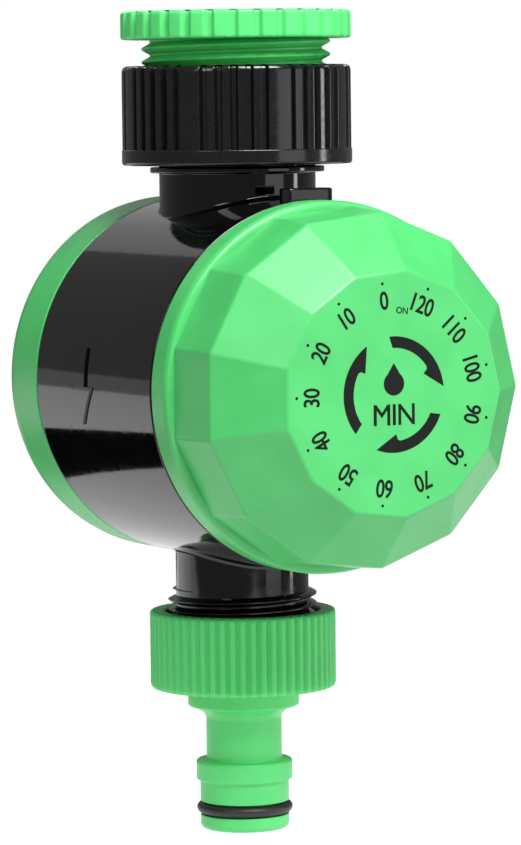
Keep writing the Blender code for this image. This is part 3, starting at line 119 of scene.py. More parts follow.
def noise(tree, millimetres, detail=3.0, stretch=(1, 1, 1)):
    """Noise with features of this size, in object space."""
    place = node(tree, "ShaderNodeTexCoord").outputs["Object"]
    mapped = node(tree, "ShaderNodeMapping", {"Vector": place, "Scale": stretch})
    return node(
        tree, "ShaderNodeTexNoise",
        {"Vector": mapped.outputs[0], "Scale": 1 / (millimetres * MM), "Detail": detail},
    ).outputs["Fac"]


def spread(tree, value, low, high, start=0.35, stop=0.65):
    """The value, which mostly lies from start to stop, stretched to run from low to high."""
    return node(
        tree, "ShaderNodeMapRange", {"Value": value, 1: start, 2: stop, 3: low, 4: high}
    ).outputs[0]


def tint(tree, value, first, second):
    """A colour between two sRGB hex values."""
    mix = node(tree, "ShaderNodeMix", {"Factor": value}, data_type="RGBA")
    mix.inputs[6].default_value = linear(first)
    mix.inputs[7].default_value = linear(second)
    return mix.outputs[2]


def bump(tree, height, depth_mm, strength=1.0):
    return node(
        tree, "ShaderNodeBump", {"Height": height, "Distance": depth_mm * MM, "Strength": strength}
    ).outputs[0]


def satin_green_abs(name, first, second):
    """Green ABS from a spark-eroded mould: an even sheen over a fine grain, in faint clouds of two greens."""
    material, tree, shader = new_material(name, 0.36, 1.53)
    cloud = noise(tree, 9.0, 2.0)
    tree.links.new(tint(tree, spread(tree, cloud, 0, 1), first, second), shader.inputs["Base Color"])
    grain = noise(tree, 0.25, 4.0)
    tree.links.new(spread(tree, grain, 0.32, 0.42), shader.inputs["Roughness"])
    tree.links.new(bump(tree, grain, 0.006), shader.inputs["Normal"])
    return material


def gloss_black_abs():
    """Polished black ABS: a deep clear shine that wavers slightly where the moulding sank."""
    material, tree, shader = new_material("gloss_black_abs", 0.12, 1.53)
    cloud = noise(tree, 14.0, 2.0)
    tree.links.new(tint(tree, spread(tree, cloud, 0, 1), "#040405", "#070708"), shader.inputs["Base Color"])
    haze = noise(tree, 1.5, 5.0)
    tree.links.new(spread(tree, haze, 0.05, 0.1), shader.inputs["Roughness"])
    sink = noise(tree, 6.0, 2.0)
    tree.links.new(bump(tree, sink, 0.012), shader.inputs["Normal"])
    return material


def satin_black_abs():
    """Black ABS from a duller part of the mould: grips and threads with a greyer, broader shine."""
    material, tree, shader = new_material("satin_black_abs", 0.22, 1.53)
    grain = noise(tree, 0.6, 5.0)
    tree.links.new(tint(tree, spread(tree, grain, 0, 1), "#0C0C0D", "#121213"), shader.inputs["Base Color"])
    tree.links.new(spread(tree, grain, 0.1, 0.2), shader.inputs["Roughness"])
    tree.links.new(bump(tree, grain, 0.002), shader.inputs["Normal"])
    return material


def nitrile_rubber():
    """Moulded nitrile rubber: near black with a wide dull sheen and dusty specks."""
    material, tree, shader = new_material("nitrile_rubber", 0.42, 1.52)
    dust = noise(tree, 0.4, 5.0)
    specks = spread(tree, dust, 0, 1, 0.45, 0.7)
    tree.links.new(tint(tree, specks, "#1B1719", "#2A2527"), shader.inputs["Base Color"])
    tree.links.new(spread(tree, dust, 0.36, 0.5), shader.inputs["Roughness"])
    tree.links.new(bump(tree, dust, 0.01), shader.inputs["Normal"])
    return material


def pad_print_ink():
    """Black pad-printing ink: matt, slightly thin over the grain of the plastic."""
    material, tree, shader = new_material("pad_print_ink", 0.45, 1.48, Specular_IOR_Level=0.2)
    grain = noise(tree, 0.3, 4.0)
    tree.links.new(tint(tree, spread(tree, grain, 0, 1), "#070B08", "#0C120E"), shader.inputs["Base Color"])
    tree.links.new(spread(tree, grain, 0.4, 0.55), shader.inputs["Roughness"])
    return material


def natural_acetal():
    """Unpigmented acetal: milky white, waxy and slightly see-through at thin edges."""
    material, tree, shader = new_material(
        "natural_acetal", 0.35, 1.48, Subsurface_Weight=0.15, Subsurface_Scale=1.5 * MM
    )
    cloud = noise(tree, 3.0, 3.0)
    tree.links.new(tint(tree, spread(tree, cloud, 0, 1), "#E4E2DA", "#EFEEE8"), shader.inputs["Base Color"])
    tree.links.new(spread(tree, cloud, 0.3, 0.42), shader.inputs["Roughness"])
    return material


def turned_steel():
    """Turned stainless steel: bright, with fine tool marks round the bar."""
    material, tree, shader = new_material("turned_steel", 0.28, metallic=1.0)
    marks = noise(tree, 0.2, 3.0, (1, 8, 1))
    tree.links.new(tint(tree, spread(tree, marks, 0, 1), "#B4B6BA", "#CBCDD0"), shader.inputs["Base Color"])
    tree.links.new(spread(tree, marks, 0.22, 0.34), shader.inputs["Roughness"])
    tree.links.new(bump(tree, marks, 0.004), shader.inputs["Normal"])
    return material


def stamped_brass():
    """Stamped clock brass: warm yellow, lightly tarnished in clouds, with rolling lines."""
    material, tree, shader = new_material("stamped_brass", 0.3, metallic=1.0)
    tarnish = noise(tree, 5.0, 4.0)
    tree.links.new(tint(tree, spread(tree, tarnish, 0, 1), "#C9A457", "#DDBE78"), shader.inputs["Base Color"])
    lines = noise(tree, 0.3, 3.0, (1, 1, 12))
    tree.links.new(spread(tree, lines, 0.24, 0.38), shader.inputs["Roughness"])
    tree.links.new(bump(tree, lines, 0.004), shader.inputs["Normal"])
    return material


GREEN = satin_green_abs("satin_green_abs", "#40AC5B", "#45B461")
# Painted light: the pipe fittings get a lighter copy of the same green as the dial and the rear cover, to make
# up for the light that the lamps give them.
PAINTED_LIGHT_FITTING_GREEN = satin_green_abs("painted_light_satin_green_abs", "#4FCB6D", "#54D273")
GLOSS = gloss_black_abs()
SATIN = satin_black_abs()
RUBBER = nitrile_rubber()
INK = pad_print_ink()
ACETAL = natural_acetal()
STEEL = turned_steel()
BRASS = stamped_brass()


# Meshes


def new_object(name, mesh):
    obj = bpy.data.objects.new(name, mesh)
    bpy.context.scene.collection.objects.link(obj)
    return obj


def outline(points):
    """A closed or open profile from corners (radius, height, fillet), each corner rounded by an arc.
    A point just outside each arc keeps the shading of the straight walls flat."""
    rounded = []
    closed = points[0][:2] == points[-1][:2]
    corners = points[:-1] if closed else points
    for index, corner in enumerate(corners):
        here = Vector(corner[:2])
        fillet = corner[2] if len(corner) > 2 else 0
        inner = closed or 0 < index < len(corners) - 1
        if not fillet or not inner:
            rounded.append(tuple(here))
            continue
        before = Vector(corners[index - 1][:2]) - here
        after = Vector(corners[(index + 1) % len(corners)][:2]) - here
        reach = min(fillet, 0.45 * before.length, 0.45 * after.length)
        start, end = here + before.normalized() * reach, here + after.normalized() * reach
        rounded.append(tuple(start + before.normalized() * min(HOLD, 0.04 * before.length)))
        for step in range(5):
            t = step / 4
            point = start.lerp(here, t).lerp(here.lerp(end, t), t)
            rounded.append(tuple(point))
        rounded.append(tuple(end + after.normalized() * min(HOLD, 0.04 * after.length)))
    if closed:
        rounded.append(rounded[0])
    return rounded


def lathe(name, points, segments, grip=None, place=None):
    """A turned mesh from a profile that runs down its outer side. grip(radius, height) marks where ribs go."""
    shape = bmesh.new()
    layer = shape.verts.layers.float.new("grip")
    rows = []
    closed = points[0] == points[-1]
    for radius, height in points[:-1] if closed else points:
        if radius < 1e-7:
            row = [shape.verts.new((0, 0, height))] * segments
        else:
            row = []
            for index in range(segments):
                angle = math.tau * index / segments
                row.append(shape.verts.new((radius * math.cos(angle), radius * math.sin(angle), height)))
        for vertex in row:
            vertex[layer] = grip(radius, height) if grip else 0.0
        rows.append(row)
    pairs = list(zip(rows, rows[1:]))
    if closed:
        pairs.append((rows[-1], rows[0]))
    for upper, lower in pairs:
        for index in range(segments):
            after = (index + 1) % segments
            corners = [upper[index], lower[index], lower[after], upper[after]]
            unique = list(dict.fromkeys(corners))
            if len(unique) > 2:
                shape.faces.new(unique)
    bmesh.ops.recalc_face_normals(shape, faces=shape.faces)
    mesh = bpy.data.meshes.new(name)
    if place:
        bmesh.ops.transform(shape, matrix=place, verts=shape.verts)
    shape.to_mesh(mesh)
    shape.free()
    mesh.shade_smooth()
    mesh.set_sharp_from_angle(angle=SHARP)
    return mesh


def joined(name, meshes):
    """One mesh of several."""
    shape = bmesh.new()
    for mesh in meshes:
        shape.from_mesh(mesh)
    mesh = bpy.data.meshes.new(name)
    shape.to_mesh(mesh)
    shape.free()
    mesh.shade_smooth()
    mesh.set_sharp_from_angle(angle=SHARP)
    return mesh


def extruded(points, low, high):
    """A flat outline given thickness."""
    shape = bmesh.new()
    face = shape.faces.new([shape.verts.new((x, y, low)) for x, y in points])
    grown = bmesh.ops.extrude_face_region(shape, geom=[face])["geom"]
    top = [item for item in grown if isinstance(item, bmesh.types.BMVert)]
    bmesh.ops.translate(shape, verts=top, vec=(0, 0, high - low))
    bmesh.ops.recalc_face_normals(shape, faces=shape.faces)
    mesh = bpy.data.meshes.new("extruded")
    shape.to_mesh(mesh)
    shape.free()
    return mesh


def cut_away(obj, mesh):
    """Takes the solid in mesh out of obj and bakes the result."""
    cutter = new_object("cutter", mesh)
    modifier = obj.modifiers.new("cut", "BOOLEAN")
    modifier.operation = "DIFFERENCE"
    modifier.object = cutter
    bake(obj)
    bpy.data.objects.remove(cutter)


def bake(obj):
    """Turns the evaluated object into a plain mesh and drops its modifiers."""
    graph = bpy.context.evaluated_depsgraph_get()
    mesh = bpy.data.meshes.new_from_object(obj.evaluated_get(graph), depsgraph=graph)
    obj.modifiers.clear()
    obj.data = mesh
    return obj


def finish_piece(obj, material, body, *nodes):
    """Gives a finished piece its material, its body and the CAD nodes that it stands for."""
    obj.data.materials.clear()
    obj.data.materials.append(material)
    obj.data.polygons.foreach_set("material_index", [0] * len(obj.data.polygons))
    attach(obj, body)
    if nodes:
        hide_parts(*nodes)
    return obj


# Geometry Nodes trees


def new_tree(name, sizes):
    """A tree with a mesh input and output. sizes maps the name of each other input to its socket type."""
    tree = bpy.data.node_groups.new(name, "GeometryNodeTree")
    tree.interface.new_socket("Geometry", in_out="INPUT", socket_type="NodeSocketGeometry")
    for label, kind in sizes.items():
        tree.interface.new_socket(label, in_out="INPUT", socket_type=f"NodeSocket{kind}")
    tree.interface.new_socket("Geometry", in_out="OUTPUT", socket_type="NodeSocketGeometry")
    return tree, node(tree, "NodeGroupInput").outputs


def close_tree(tree, geometry, material):
    """Ends a tree in Realize Instances and Set Material."""
    real = node(tree, "GeometryNodeRealizeInstances", {"Geometry": geometry})
    coated = node(tree, "GeometryNodeSetMaterial", {"Geometry": real.outputs[0], "Material": material})
    node(tree, "NodeGroupOutput", {0: coated.outputs[0]})
    return tree


def run_tree(obj, tree, **values):
    """Runs a tree on an object with its inputs set by identifier, and keeps the plain mesh that comes out."""
    modifier = obj.modifiers.new(tree.name, "NODES")
    modifier.node_group = tree
    identifiers = {item.name: item.identifier for item in tree.interface.items_tree if item.in_out == "INPUT"}
    for label, value in values.items():
        modifier[identifiers[label.replace("_", " ")]] = value
    return bake(obj)


def calculate(tree, operation, *values):
    """A Math node's result."""
    return node(tree, "ShaderNodeMath", dict(enumerate(values)), operation=operation).outputs[0]


def grip_tree():
    """Sinks grooves into a turned mesh, in groups round its axis, wherever its grip attribute allows."""
    tree, given = new_tree("cut_grip", {
        "Groups": "Float", "Side Grooves": "Float", "Spacing": "Float", "Depth": "Float",
        "Floor": "Float", "Edge": "Float", "Phase": "Float",
    })
    position = node(tree, "GeometryNodeInputPosition").outputs[0]
    split = node(tree, "ShaderNodeSeparateXYZ", {0: position}).outputs
    angle = calculate(tree, "ARCTAN2", split["Y"], split["X"])
    turned = calculate(tree, "SUBTRACT", angle, given["Phase"])
    half = calculate(tree, "DIVIDE", math.pi, given["Groups"])
    local = calculate(tree, "WRAP", turned, half, calculate(tree, "MULTIPLY", half, -1.0))
    step = calculate(tree, "ROUND", calculate(tree, "DIVIDE", local, given["Spacing"]))
    capped = calculate(tree, "MINIMUM", step, given["Side Grooves"])
    nearest = calculate(tree, "MAXIMUM", capped, calculate(tree, "MULTIPLY", given["Side Grooves"], -1.0))
    centre = calculate(tree, "MULTIPLY", nearest, given["Spacing"])
    away = calculate(tree, "ABSOLUTE", calculate(tree, "SUBTRACT", local, centre))
    sunk = node(
        tree, "ShaderNodeMapRange",
        {"Value": away, 1: given["Floor"], 2: given["Edge"], 3: 1.0, 4: 0.0}, interpolation_type="SMOOTHSTEP",
    ).outputs[0]
    grip = node(tree, "GeometryNodeInputNamedAttribute", {"Name": "grip"}, data_type="FLOAT").outputs[0]
    depth = calculate(tree, "MULTIPLY", calculate(tree, "MULTIPLY", sunk, grip), given["Depth"])
    outward = node(tree, "ShaderNodeCombineXYZ", {"X": split["X"], "Y": split["Y"]}).outputs[0]
    unit = node(tree, "ShaderNodeVectorMath", {0: outward}, operation="NORMALIZE").outputs[0]
    minus = calculate(tree, "MULTIPLY", depth, -1.0)
    offset = node(tree, "ShaderNodeVectorMath", {0: unit, "Scale": minus}, operation="SCALE").outputs[0]
    moved = node(tree, "GeometryNodeSetPosition", {"Geometry": given["Geometry"], "Offset": offset})
    return tree, moved.outputs[0]


def thread_tree():
    """Carries a closed section, drawn in the input mesh's XZ plane, along a helix."""
    tree, given = new_tree("cut_thread", {
        "Turns": "Float", "Height": "Float", "Radius": "Float", "Facets": "Int", "Run Out": "Float",
    })
    helix = node(tree, "GeometryNodeCurveSpiral", {
        "Resolution": given["Facets"], "Rotations": given["Turns"], "Start Radius": given["Radius"],
        "End Radius": given["Radius"], "Height": given["Height"], "Reverse": True,
    })
    upright = node(tree, "GeometryNodeSetCurveNormal", {"Curve": helix.outputs[0]}, mode="Z_UP")
    section = node(tree, "GeometryNodeMeshToCurve", {"Mesh": given["Geometry"]})
    along = node(tree, "GeometryNodeSplineParameter").outputs["Factor"]
    to_end = calculate(tree, "MINIMUM", along, calculate(tree, "SUBTRACT", 1.0, along))
    turns_to_end = calculate(tree, "MULTIPLY", to_end, given["Turns"])
    grown = node(
        tree, "ShaderNodeMapRange", {"Value": turns_to_end, 1: 0.0, 2: given["Run Out"], 3: 0.12, 4: 1.0},
        interpolation_type="SMOOTHSTEP",
    ).outputs[0]
    swept = node(tree, "GeometryNodeCurveToMesh", {
        "Curve": upright.outputs[0], "Profile Curve": section.outputs[0], "Fill Caps": True, "Scale": grown,
    })
    return tree, swept.outputs[0]


def ring_tree():
    """Sets copies of the input mesh round a circle, each turned to face outwards."""
    tree, given = new_tree("ring_of_copies", {"Count": "Int", "Radius": "Float", "Start": "Float"})
    circle = node(tree, "GeometryNodeMeshCircle", {"Vertices": given["Count"], "Radius": given["Radius"]})
    position = node(tree, "GeometryNodeInputPosition").outputs[0]
    split = node(tree, "ShaderNodeSeparateXYZ", {0: position}).outputs
    angle = calculate(tree, "ARCTAN2", split["Y"], split["X"])
    turn = node(tree, "ShaderNodeCombineXYZ", {"Z": angle}).outputs[0]
    copies = node(tree, "GeometryNodeInstanceOnPoints", {
        "Points": circle.outputs[0], "Instance": given["Geometry"], "Rotation": turn,
    })
    whole = node(tree, "ShaderNodeCombineXYZ", {"Z": given["Start"]}).outputs[0]
    turned = node(tree, "GeometryNodeTransform", {"Geometry": copies.outputs[0], "Rotation": whole})
    return tree, turned.outputs[0]


def helix(name, pitch, root, crest, low, high, inward=False):
    """A thread between two heights, its ridge a blunt V that fades in and out over part of a turn."""
    side = -1 if inward else 1
    depth = crest - root
    half = 0.43 * pitch
    ridge = [
        (-0.2 * depth, -half), (0, -half), (0.8 * depth, -0.14 * pitch), (0.96 * depth, -0.05 * pitch),
        (0.96 * depth, 0.05 * pitch), (0.8 * depth, 0.14 * pitch), (0, half), (-0.2 * depth, half),
    ]
    base = crest if inward else root
    mesh = bpy.data.meshes.new(name)
    corners = [(side * out, up, 0) for out, up in ridge]
    edges = [(index, (index + 1) % len(corners)) for index in range(len(corners))]
    mesh.from_pydata(corners, edges, [])
    obj = new_object(name, mesh)
    turns = (high - low) / pitch - 0.8
    run_tree(obj, THREAD_TREE, Turns=turns, Height=turns * pitch, Radius=base, Facets=96, Run_Out=0.3)
    obj.data.transform(Matrix.Translation((0, 0, low + 0.4 * pitch)))
    shape = bmesh.new()
    shape.from_mesh(obj.data)
    if shape.calc_volume(signed=True) < 0:
        bmesh.ops.reverse_faces(shape, faces=shape.faces)
    shape.to_mesh(obj.data)
    shape.free()
    made = obj.data
    bpy.data.objects.remove(obj)
    return made


THREAD_TREE = close_tree(*thread_tree(), SATIN)
GRIP_TREE = close_tree(*grip_tree(), SATIN)
RING_TREE = close_tree(*ring_tree(), INK)


def grip_cut(mesh, **sizes):
    """Runs the grip tree over a turned mesh and gives back the ribbed mesh."""
    obj = new_object("grip", mesh)
    run_tree(obj, GRIP_TREE, **sizes)
    made = obj.data
    bpy.data.objects.remove(obj)
    return made


# Tap adapter


def make_adapter():
    top, bottom = ADAPTER_HIGH.z - 0.02 * MM, ADAPTER_LOW.z
    rim = ADAPTER_HIGH.x - 0.03 * MM
    flange_low = top - 4.8 * MM
    seat = bottom + 3.5 * MM
    bore = G34_CREST + THREAD_CLEARANCE
    water_way, knurl = 9.0 * MM, 0.75 * MM
    profile = outline([
        (rim, top, 0.7 * MM), (rim, flange_low, 0.5 * MM), (G1_ROOT, flange_low, 0.4 * MM),
        (G1_ROOT, bottom, 0.5 * MM), (water_way, bottom, 0.3 * MM), (water_way, seat, 0.3 * MM),
        (bore, seat, 0.2 * MM), (bore, top, 0.9 * MM), (rim, top, 0.7 * MM),
    ])
    shell = lathe("adapter_shell", profile, 720, lambda radius, height: float(radius > rim - knurl))
    shell = grip_cut(
        shell, Groups=30.0, Side_Grooves=0.0, Spacing=1.0, Depth=knurl,
        Floor=math.radians(0.9), Edge=math.radians(2.9), Phase=0.0,
    )
    outer = helix(
        "adapter_outer_thread", G1_PITCH, G1_ROOT, G1_CREST, bottom + 0.3 * MM, flange_low + 1.7 * MM
    )
    inner = helix(
        "adapter_inner_thread", G34_PITCH, G34_ROOT + THREAD_CLEARANCE, bore, seat + 3.1 * MM, top - 0.6 * MM,
        inward=True,
    )
    adapter = new_object("tap_adapter", joined("tap_adapter", [shell, outer, inner]))
    # The adapter takes the lighter copy of the green, which is painted light.
    finish_piece(adapter, PAINTED_LIGHT_FITTING_GREEN, "adapter", "thread_adapter")

    low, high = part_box("tap_washer")
    hole, edge = 8.0 * MM, 0.3 * MM
    section = outline([
        (high.x, high.z, edge), (high.x, low.z, edge), (hole, low.z, edge), (hole, high.z, edge),
        (high.x, high.z, edge),
    ])
    seal = new_object("tap_seal", lathe("tap_seal", section, 128))
    finish_piece(seal, RUBBER, "adapter_washer", "tap_washer")


# Inlet nut


def make_nut():
    top, bottom, rim = NUT_HIGH.z, NUT_LOW.z, NUT_HIGH.x
    collar_top = bottom + 2.7 * MM
    grip_radius = rim - 0.12 * MM
    lip_top = bottom + 3.0 * MM
    bore, lip = G1_CREST + THREAD_CLEARANCE, 14.23 * MM
    profile = outline([
        (grip_radius, top, 1.1 * MM), (grip_radius, collar_top + 0.05 * MM), (grip_radius, collar_top),
        (rim, collar_top - 0.12 * MM, 0.15 * MM), (rim, bottom, 0.6 * MM), (lip, bottom, 0.3 * MM),
        (lip, lip_top, 0.2 * MM), (bore, lip_top, 0.2 * MM), (bore, top, 0.5 * MM),
        (grip_radius, top, 1.1 * MM),
    ])
    shell = lathe(
        "nut_shell", profile, 1080,
        lambda radius, height: float(height > collar_top + 0.01 * MM and radius > grip_radius - 1.15 * MM),
    )
    shell = grip_cut(
        shell, Groups=8.0, Side_Grooves=2.0, Spacing=math.radians(7.7), Depth=0.95 * MM,
        Floor=math.radians(1.0), Edge=math.radians(2.1), Phase=math.radians(15),
    )
    thread = helix(
        "nut_thread", G1_PITCH, G1_ROOT + THREAD_CLEARANCE, bore, lip_top + 4.0 * MM, top - 0.6 * MM,
        inward=True,
    )
    nut = new_object("tap_nut", joined("tap_nut", [shell, thread]))
    finish_piece(nut, SATIN, "nut", "inlet_nut")


# Valve body


def body_height(out, across):
    """The height of the round body above its axis, out along a way of which this share runs across the body."""
    return math.sqrt(CASE_RADIUS**2 - (out * across) ** 2)


def saddle(radius, fillet, up, reach=0.6 * MM, steps=192, arcs=10):
    """A fillet between an upright pipe and the round body: a ring whose section follows both surfaces.
    up is 1 where the pipe leaves the top of the body and -1 where it leaves the bottom."""
    shape = bmesh.new()
    rows = []
    for index in range(steps):
        angle = math.tau * index / steps
        across = math.cos(angle)
        # The circle's centre stands one fillet off the pipe and one fillet off the body.
        centre_out = radius + fillet
        height = body_height(centre_out, across) + fillet
        for _ in range(30):
            nearest = min(
                ((out - centre_out) ** 2 + (body_height(out, across) - height) ** 2, out)
                for out in [radius + fillet * 2 * i / 60 for i in range(61)]
            )
            height += 0.7 * (fillet - math.sqrt(nearest[0]))
        touch = nearest[1]
        start = math.pi
        end = math.atan2(body_height(touch, across) - height, touch - centre_out)
        if end > 0:
            end -= math.tau
        section = []
        span = end + math.tau - start
        for step in range(arcs + 1):
            turn = start + span * step / arcs
            section.append((centre_out + fillet * math.cos(turn), height + fillet * math.sin(turn)))
        section.append((section[-1][0], section[-1][1] - reach))
        section.append((radius - reach, body_height(radius - reach, across) - reach))
        section.append((radius - reach, section[0][1]))
        row = [(out * math.cos(angle), out * math.sin(angle), AXIS_Z + up * rise) for out, rise in section]
        rows.append([shape.verts.new(place) for place in row])
    for index, row in enumerate(rows):
        after = rows[(index + 1) % steps]
        for step in range(len(row)):
            further = (step + 1) % len(row)
            shape.faces.new([row[step], row[further], after[further], after[step]])
    bmesh.ops.recalc_face_normals(shape, faces=shape.faces)
    mesh = bpy.data.meshes.new("saddle")
    shape.to_mesh(mesh)
    shape.free()
    return mesh


def rounded_block(low, high, edge):
    """A box between two corners with its edges rounded."""
    shape = bmesh.new()
    bmesh.ops.create_cube(shape, size=1)
    size = Vector(high) - Vector(low)
    for vertex in shape.verts:
        vertex.co = Vector(low) + Vector((size[i] * (vertex.co[i] + 0.5) for i in range(3)))
    bmesh.ops.bevel(
        shape, geom=shape.edges[:], offset=edge, offset_type="OFFSET", segments=3, profile=0.5, affect="EDGES"
    )
    bmesh.ops.recalc_face_normals(shape, faces=shape.faces)
    mesh = bpy.data.meshes.new("rounded_block")
    shape.to_mesh(mesh)
    shape.free()
    return mesh


def flow_arrow():
    """A raised arrow that points down and follows the body's round side."""
    half, wide, stem = 6.95 * MM, 4.6 * MM, 1.95 * MM
    raised, rooted, forward = 0.38 * MM, 0.5 * MM, 0.9 * MM
    corners = [(-half, 0), (0, -wide), (0, -stem), (half, -stem), (half, stem), (0, stem), (0, wide)]
    shape = bmesh.new()
    shape.faces.new([shape.verts.new((up, along, 0)) for up, along in corners])
    for cut in range(-13, 14):
        bmesh.ops.bisect_plane(
            shape, geom=shape.verts[:] + shape.edges[:] + shape.faces[:],
            plane_co=(cut * 0.5 * MM, 0, 0), plane_no=(1, 0, 0),
        )
    low = bmesh.ops.extrude_face_region(shape, geom=shape.faces[:])["geom"]
    lifted = [item for item in low if isinstance(item, bmesh.types.BMVert)]
    bmesh.ops.translate(shape, verts=lifted, vec=(0, 0, 1))
    bmesh.ops.recalc_face_normals(shape, faces=shape.faces)
    for vertex in shape.verts:
        top = vertex.co.z > 0.5
        radius = CASE_RADIUS + (raised if top else -rooted)
        share = 0.94 if top else 1.0  # the sides slope in
        angle = vertex.co.x * share / CASE_RADIUS
        along = -forward + vertex.co.y * share
        vertex.co = (-radius * math.cos(angle), along, AXIS_Z + radius * math.sin(angle))
    bmesh.ops.recalc_face_normals(shape, faces=shape.faces)
    mesh = bpy.data.meshes.new("flow_arrow")
    shape.to_mesh(mesh)
    shape.free()
    return mesh


def make_body():
    front, back = -BODY_LOW.y, -16.2 * MM
    face, rear = 13.0 * MM, 10.5 * MM  # of the bulkhead that carries the clock
    shell = lathe("body_shell", outline([
        (0, face), (CASE_BORE, face, 0.3 * MM), (CASE_BORE, front, 0.2 * MM), (CASE_RADIUS, front, 0.3 * MM),
        (CASE_RADIUS, back, 0.3 * MM), (CASE_BORE, back, 0.2 * MM), (CASE_BORE, rear, 0.3 * MM), (0, rear),
    ]), 384, place=DIAL_FRAME)
    body = new_object("body_shell", shell)
    for radius, low, high in ((9.6, AXIS_Z, BODY_HIGH.z), (8.6, BODY_LOW.z, AXIS_Z)):
        cut_away(body, lathe("way", [(0, high), (radius * MM, high), (radius * MM, low), (0, low)], 96))
    pipe_root = 17.6 * MM  # where the neck and the outlet start, above and below the axis
    neck_top, neck_bore, neck_foot = NUT_LOW.z + 3.8 * MM, 10.7 * MM, 12.0 * MM
    foot_top = AXIS_Z + CASE_BORE - 0.9 * MM
    ring, ring_top, ring_low = 15.2 * MM, NUT_LOW.z - 0.35 * MM, NUT_LOW.z - 1.35 * MM
    neck = lathe("neck", outline([
        (NECK_RADIUS, neck_top, 0.4 * MM), (NECK_RADIUS, ring_top, 0.2 * MM), (ring, ring_top, 0.3 * MM),
        (ring, ring_low, 0.3 * MM), (NECK_RADIUS, ring_low, 0.25 * MM), (NECK_RADIUS, foot_top),
        (neck_foot, foot_top), (neck_foot, AXIS_Z + pipe_root), (neck_bore, AXIS_Z + pipe_root),
        (neck_bore, neck_top, 0.4 * MM), (NECK_RADIUS, neck_top, 0.4 * MM),
    ]), 256)
    outlet_end, outlet_bore = -113.5 * MM, 8.6 * MM
    outlet = lathe("outlet", outline([
        (G34_ROOT, AXIS_Z - pipe_root), (G34_ROOT, outlet_end, 0.5 * MM), (outlet_bore, outlet_end, 0.3 * MM),
        (outlet_bore, AXIS_Z - pipe_root), (G34_ROOT, AXIS_Z - pipe_root),
    ]), 256)
    thread_low, thread_top = outlet_end + 0.3 * MM, outlet_end + 13.6 * MM
    thread = helix("outlet_thread", G34_PITCH, G34_ROOT, G34_CREST, thread_low, thread_top)
    block_radius, block_back, chamber, chamber_floor = 17.0 * MM, -13.1 * MM, 12.5 * MM, -3.0 * MM
    block = lathe("valve_block", outline([
        (0, rear + 0.3 * MM), (block_radius, rear + 0.3 * MM), (block_radius, block_back, 0.4 * MM),
        (chamber, block_back, 0.3 * MM), (chamber, chamber_floor), (0, chamber_floor),
    ]), 128, place=DIAL_FRAME)
    lug = rounded_block(
        (-4.2 * MM, BODY_LOW.y + 0.6 * MM, AXIS_Z + CASE_RADIUS - 1.5 * MM),
        (4.2 * MM, BODY_LOW.y + 4.4 * MM, AXIS_Z + CASE_RADIUS + 2.0 * MM), 0.35 * MM,
    )
    saddles = [saddle(NECK_RADIUS, 0.8 * MM, 1), saddle(G34_ROOT, 1.0 * MM, -1)]
    body.data = joined("timer_body", [body.data, neck, outlet, thread, block, lug, flow_arrow(), *saddles])
    body.name = "timer_body"
    finish_piece(body, GLOSS, "case", "valve_body")


# Rear cover and its screws


def make_cover():
    front, back = -COVER_LOW.y, -COVER_HIGH.y
    floor, sink_floor, post_root = back + 2.2 * MM, back + 2.1 * MM, back + 2.0 * MM
    round_edge, counterbore, post_radius, post_bore = 3.4 * MM, 3.0 * MM, 3.4 * MM, 1.6 * MM
    cover = new_object("back_cover", lathe("back_cover", outline([
        (0, floor), (CASE_BORE, floor, 1.0 * MM), (CASE_BORE, front, 0.2 * MM),
        (CASE_RADIUS, front, 0.3 * MM), (CASE_RADIUS, back, round_edge), (0, back),
    ]), 384, place=DIAL_FRAME))
    for index in range(4):
        angle = math.pi / 4 + math.pi / 2 * index
        x, y = COVER_SCREW_CIRCLE * math.cos(angle), COVER_SCREW_CIRCLE * math.sin(angle)
        section = [(0, sink_floor), (counterbore, sink_floor), (counterbore, back - MM), (0, back - MM)]
        hole = lathe("hole", section, 64)
        hole.transform(DIAL_FRAME @ Matrix.Translation((x, y, 0)))
        cut_away(cover, hole)
        post = lathe("post", outline([
            (post_radius, post_root), (post_radius, front, 0.2 * MM), (post_bore, front),
            (post_bore, post_root), (post_radius, post_root),
        ]), 64)
        post.transform(DIAL_FRAME @ Matrix.Translation((x, y, 0)))
        cover.data = joined("back_cover", [cover.data, post])
    finish_piece(cover, GREEN, "case", "rear_cover")


def make_screws():
    """Pan-headed screws with a cross recess, under the rear cover's counterbores."""
    low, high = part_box("rear_cover_screw_1")
    under_head, head, shank = high.y - 1.8 * MM, 2.6 * MM, 1.3 * MM
    slot_floor, slot_width, slot_length = high.y - MM, 0.3 * MM, 5  # the length is in widths
    screw = new_object("screw", lathe("screw", outline([
        (0, high.y), (head, high.y, 0.7 * MM), (head, under_head, 0.2 * MM),
        (shank, under_head), (shank, low.y + MM), (0, low.y),
    ]), 48))
    for turn in (0, math.pi / 2):
        section = [(0, high.y + MM), (slot_width, high.y + MM), (slot_width, slot_floor), (0, slot_floor)]
        slot = lathe("slot", section, 4)
        slot.transform(Matrix.Rotation(math.pi / 4, 4, "Z"))
        slot.transform(Matrix.Rotation(turn, 4, "Z") @ Matrix.Diagonal((slot_length, 1, 1, 1)))
        cut_away(screw, slot)
    run_tree(screw, RING_TREE, Count=4, Radius=COVER_SCREW_CIRCLE, Start=math.pi / 4)
    # The screw stands on +Z here and points forward in place, so Z becomes Y about the dial's axis.
    screw.data.transform(Matrix.Translation((0, 0, AXIS_Z)) @ Matrix.Rotation(-math.pi / 2, 4, "X"))
    screw.name = "cover_screws"
    screw.data.shade_smooth()
    screw.data.set_sharp_from_angle(angle=SHARP)
    finish_piece(screw, STEEL, "case", *[f"rear_cover_screw_{i}" for i in range(1, 5)])


# Dial


DIAL_FACE = -DIAL_LOW.y - 0.04 * MM  # leaves room for the print


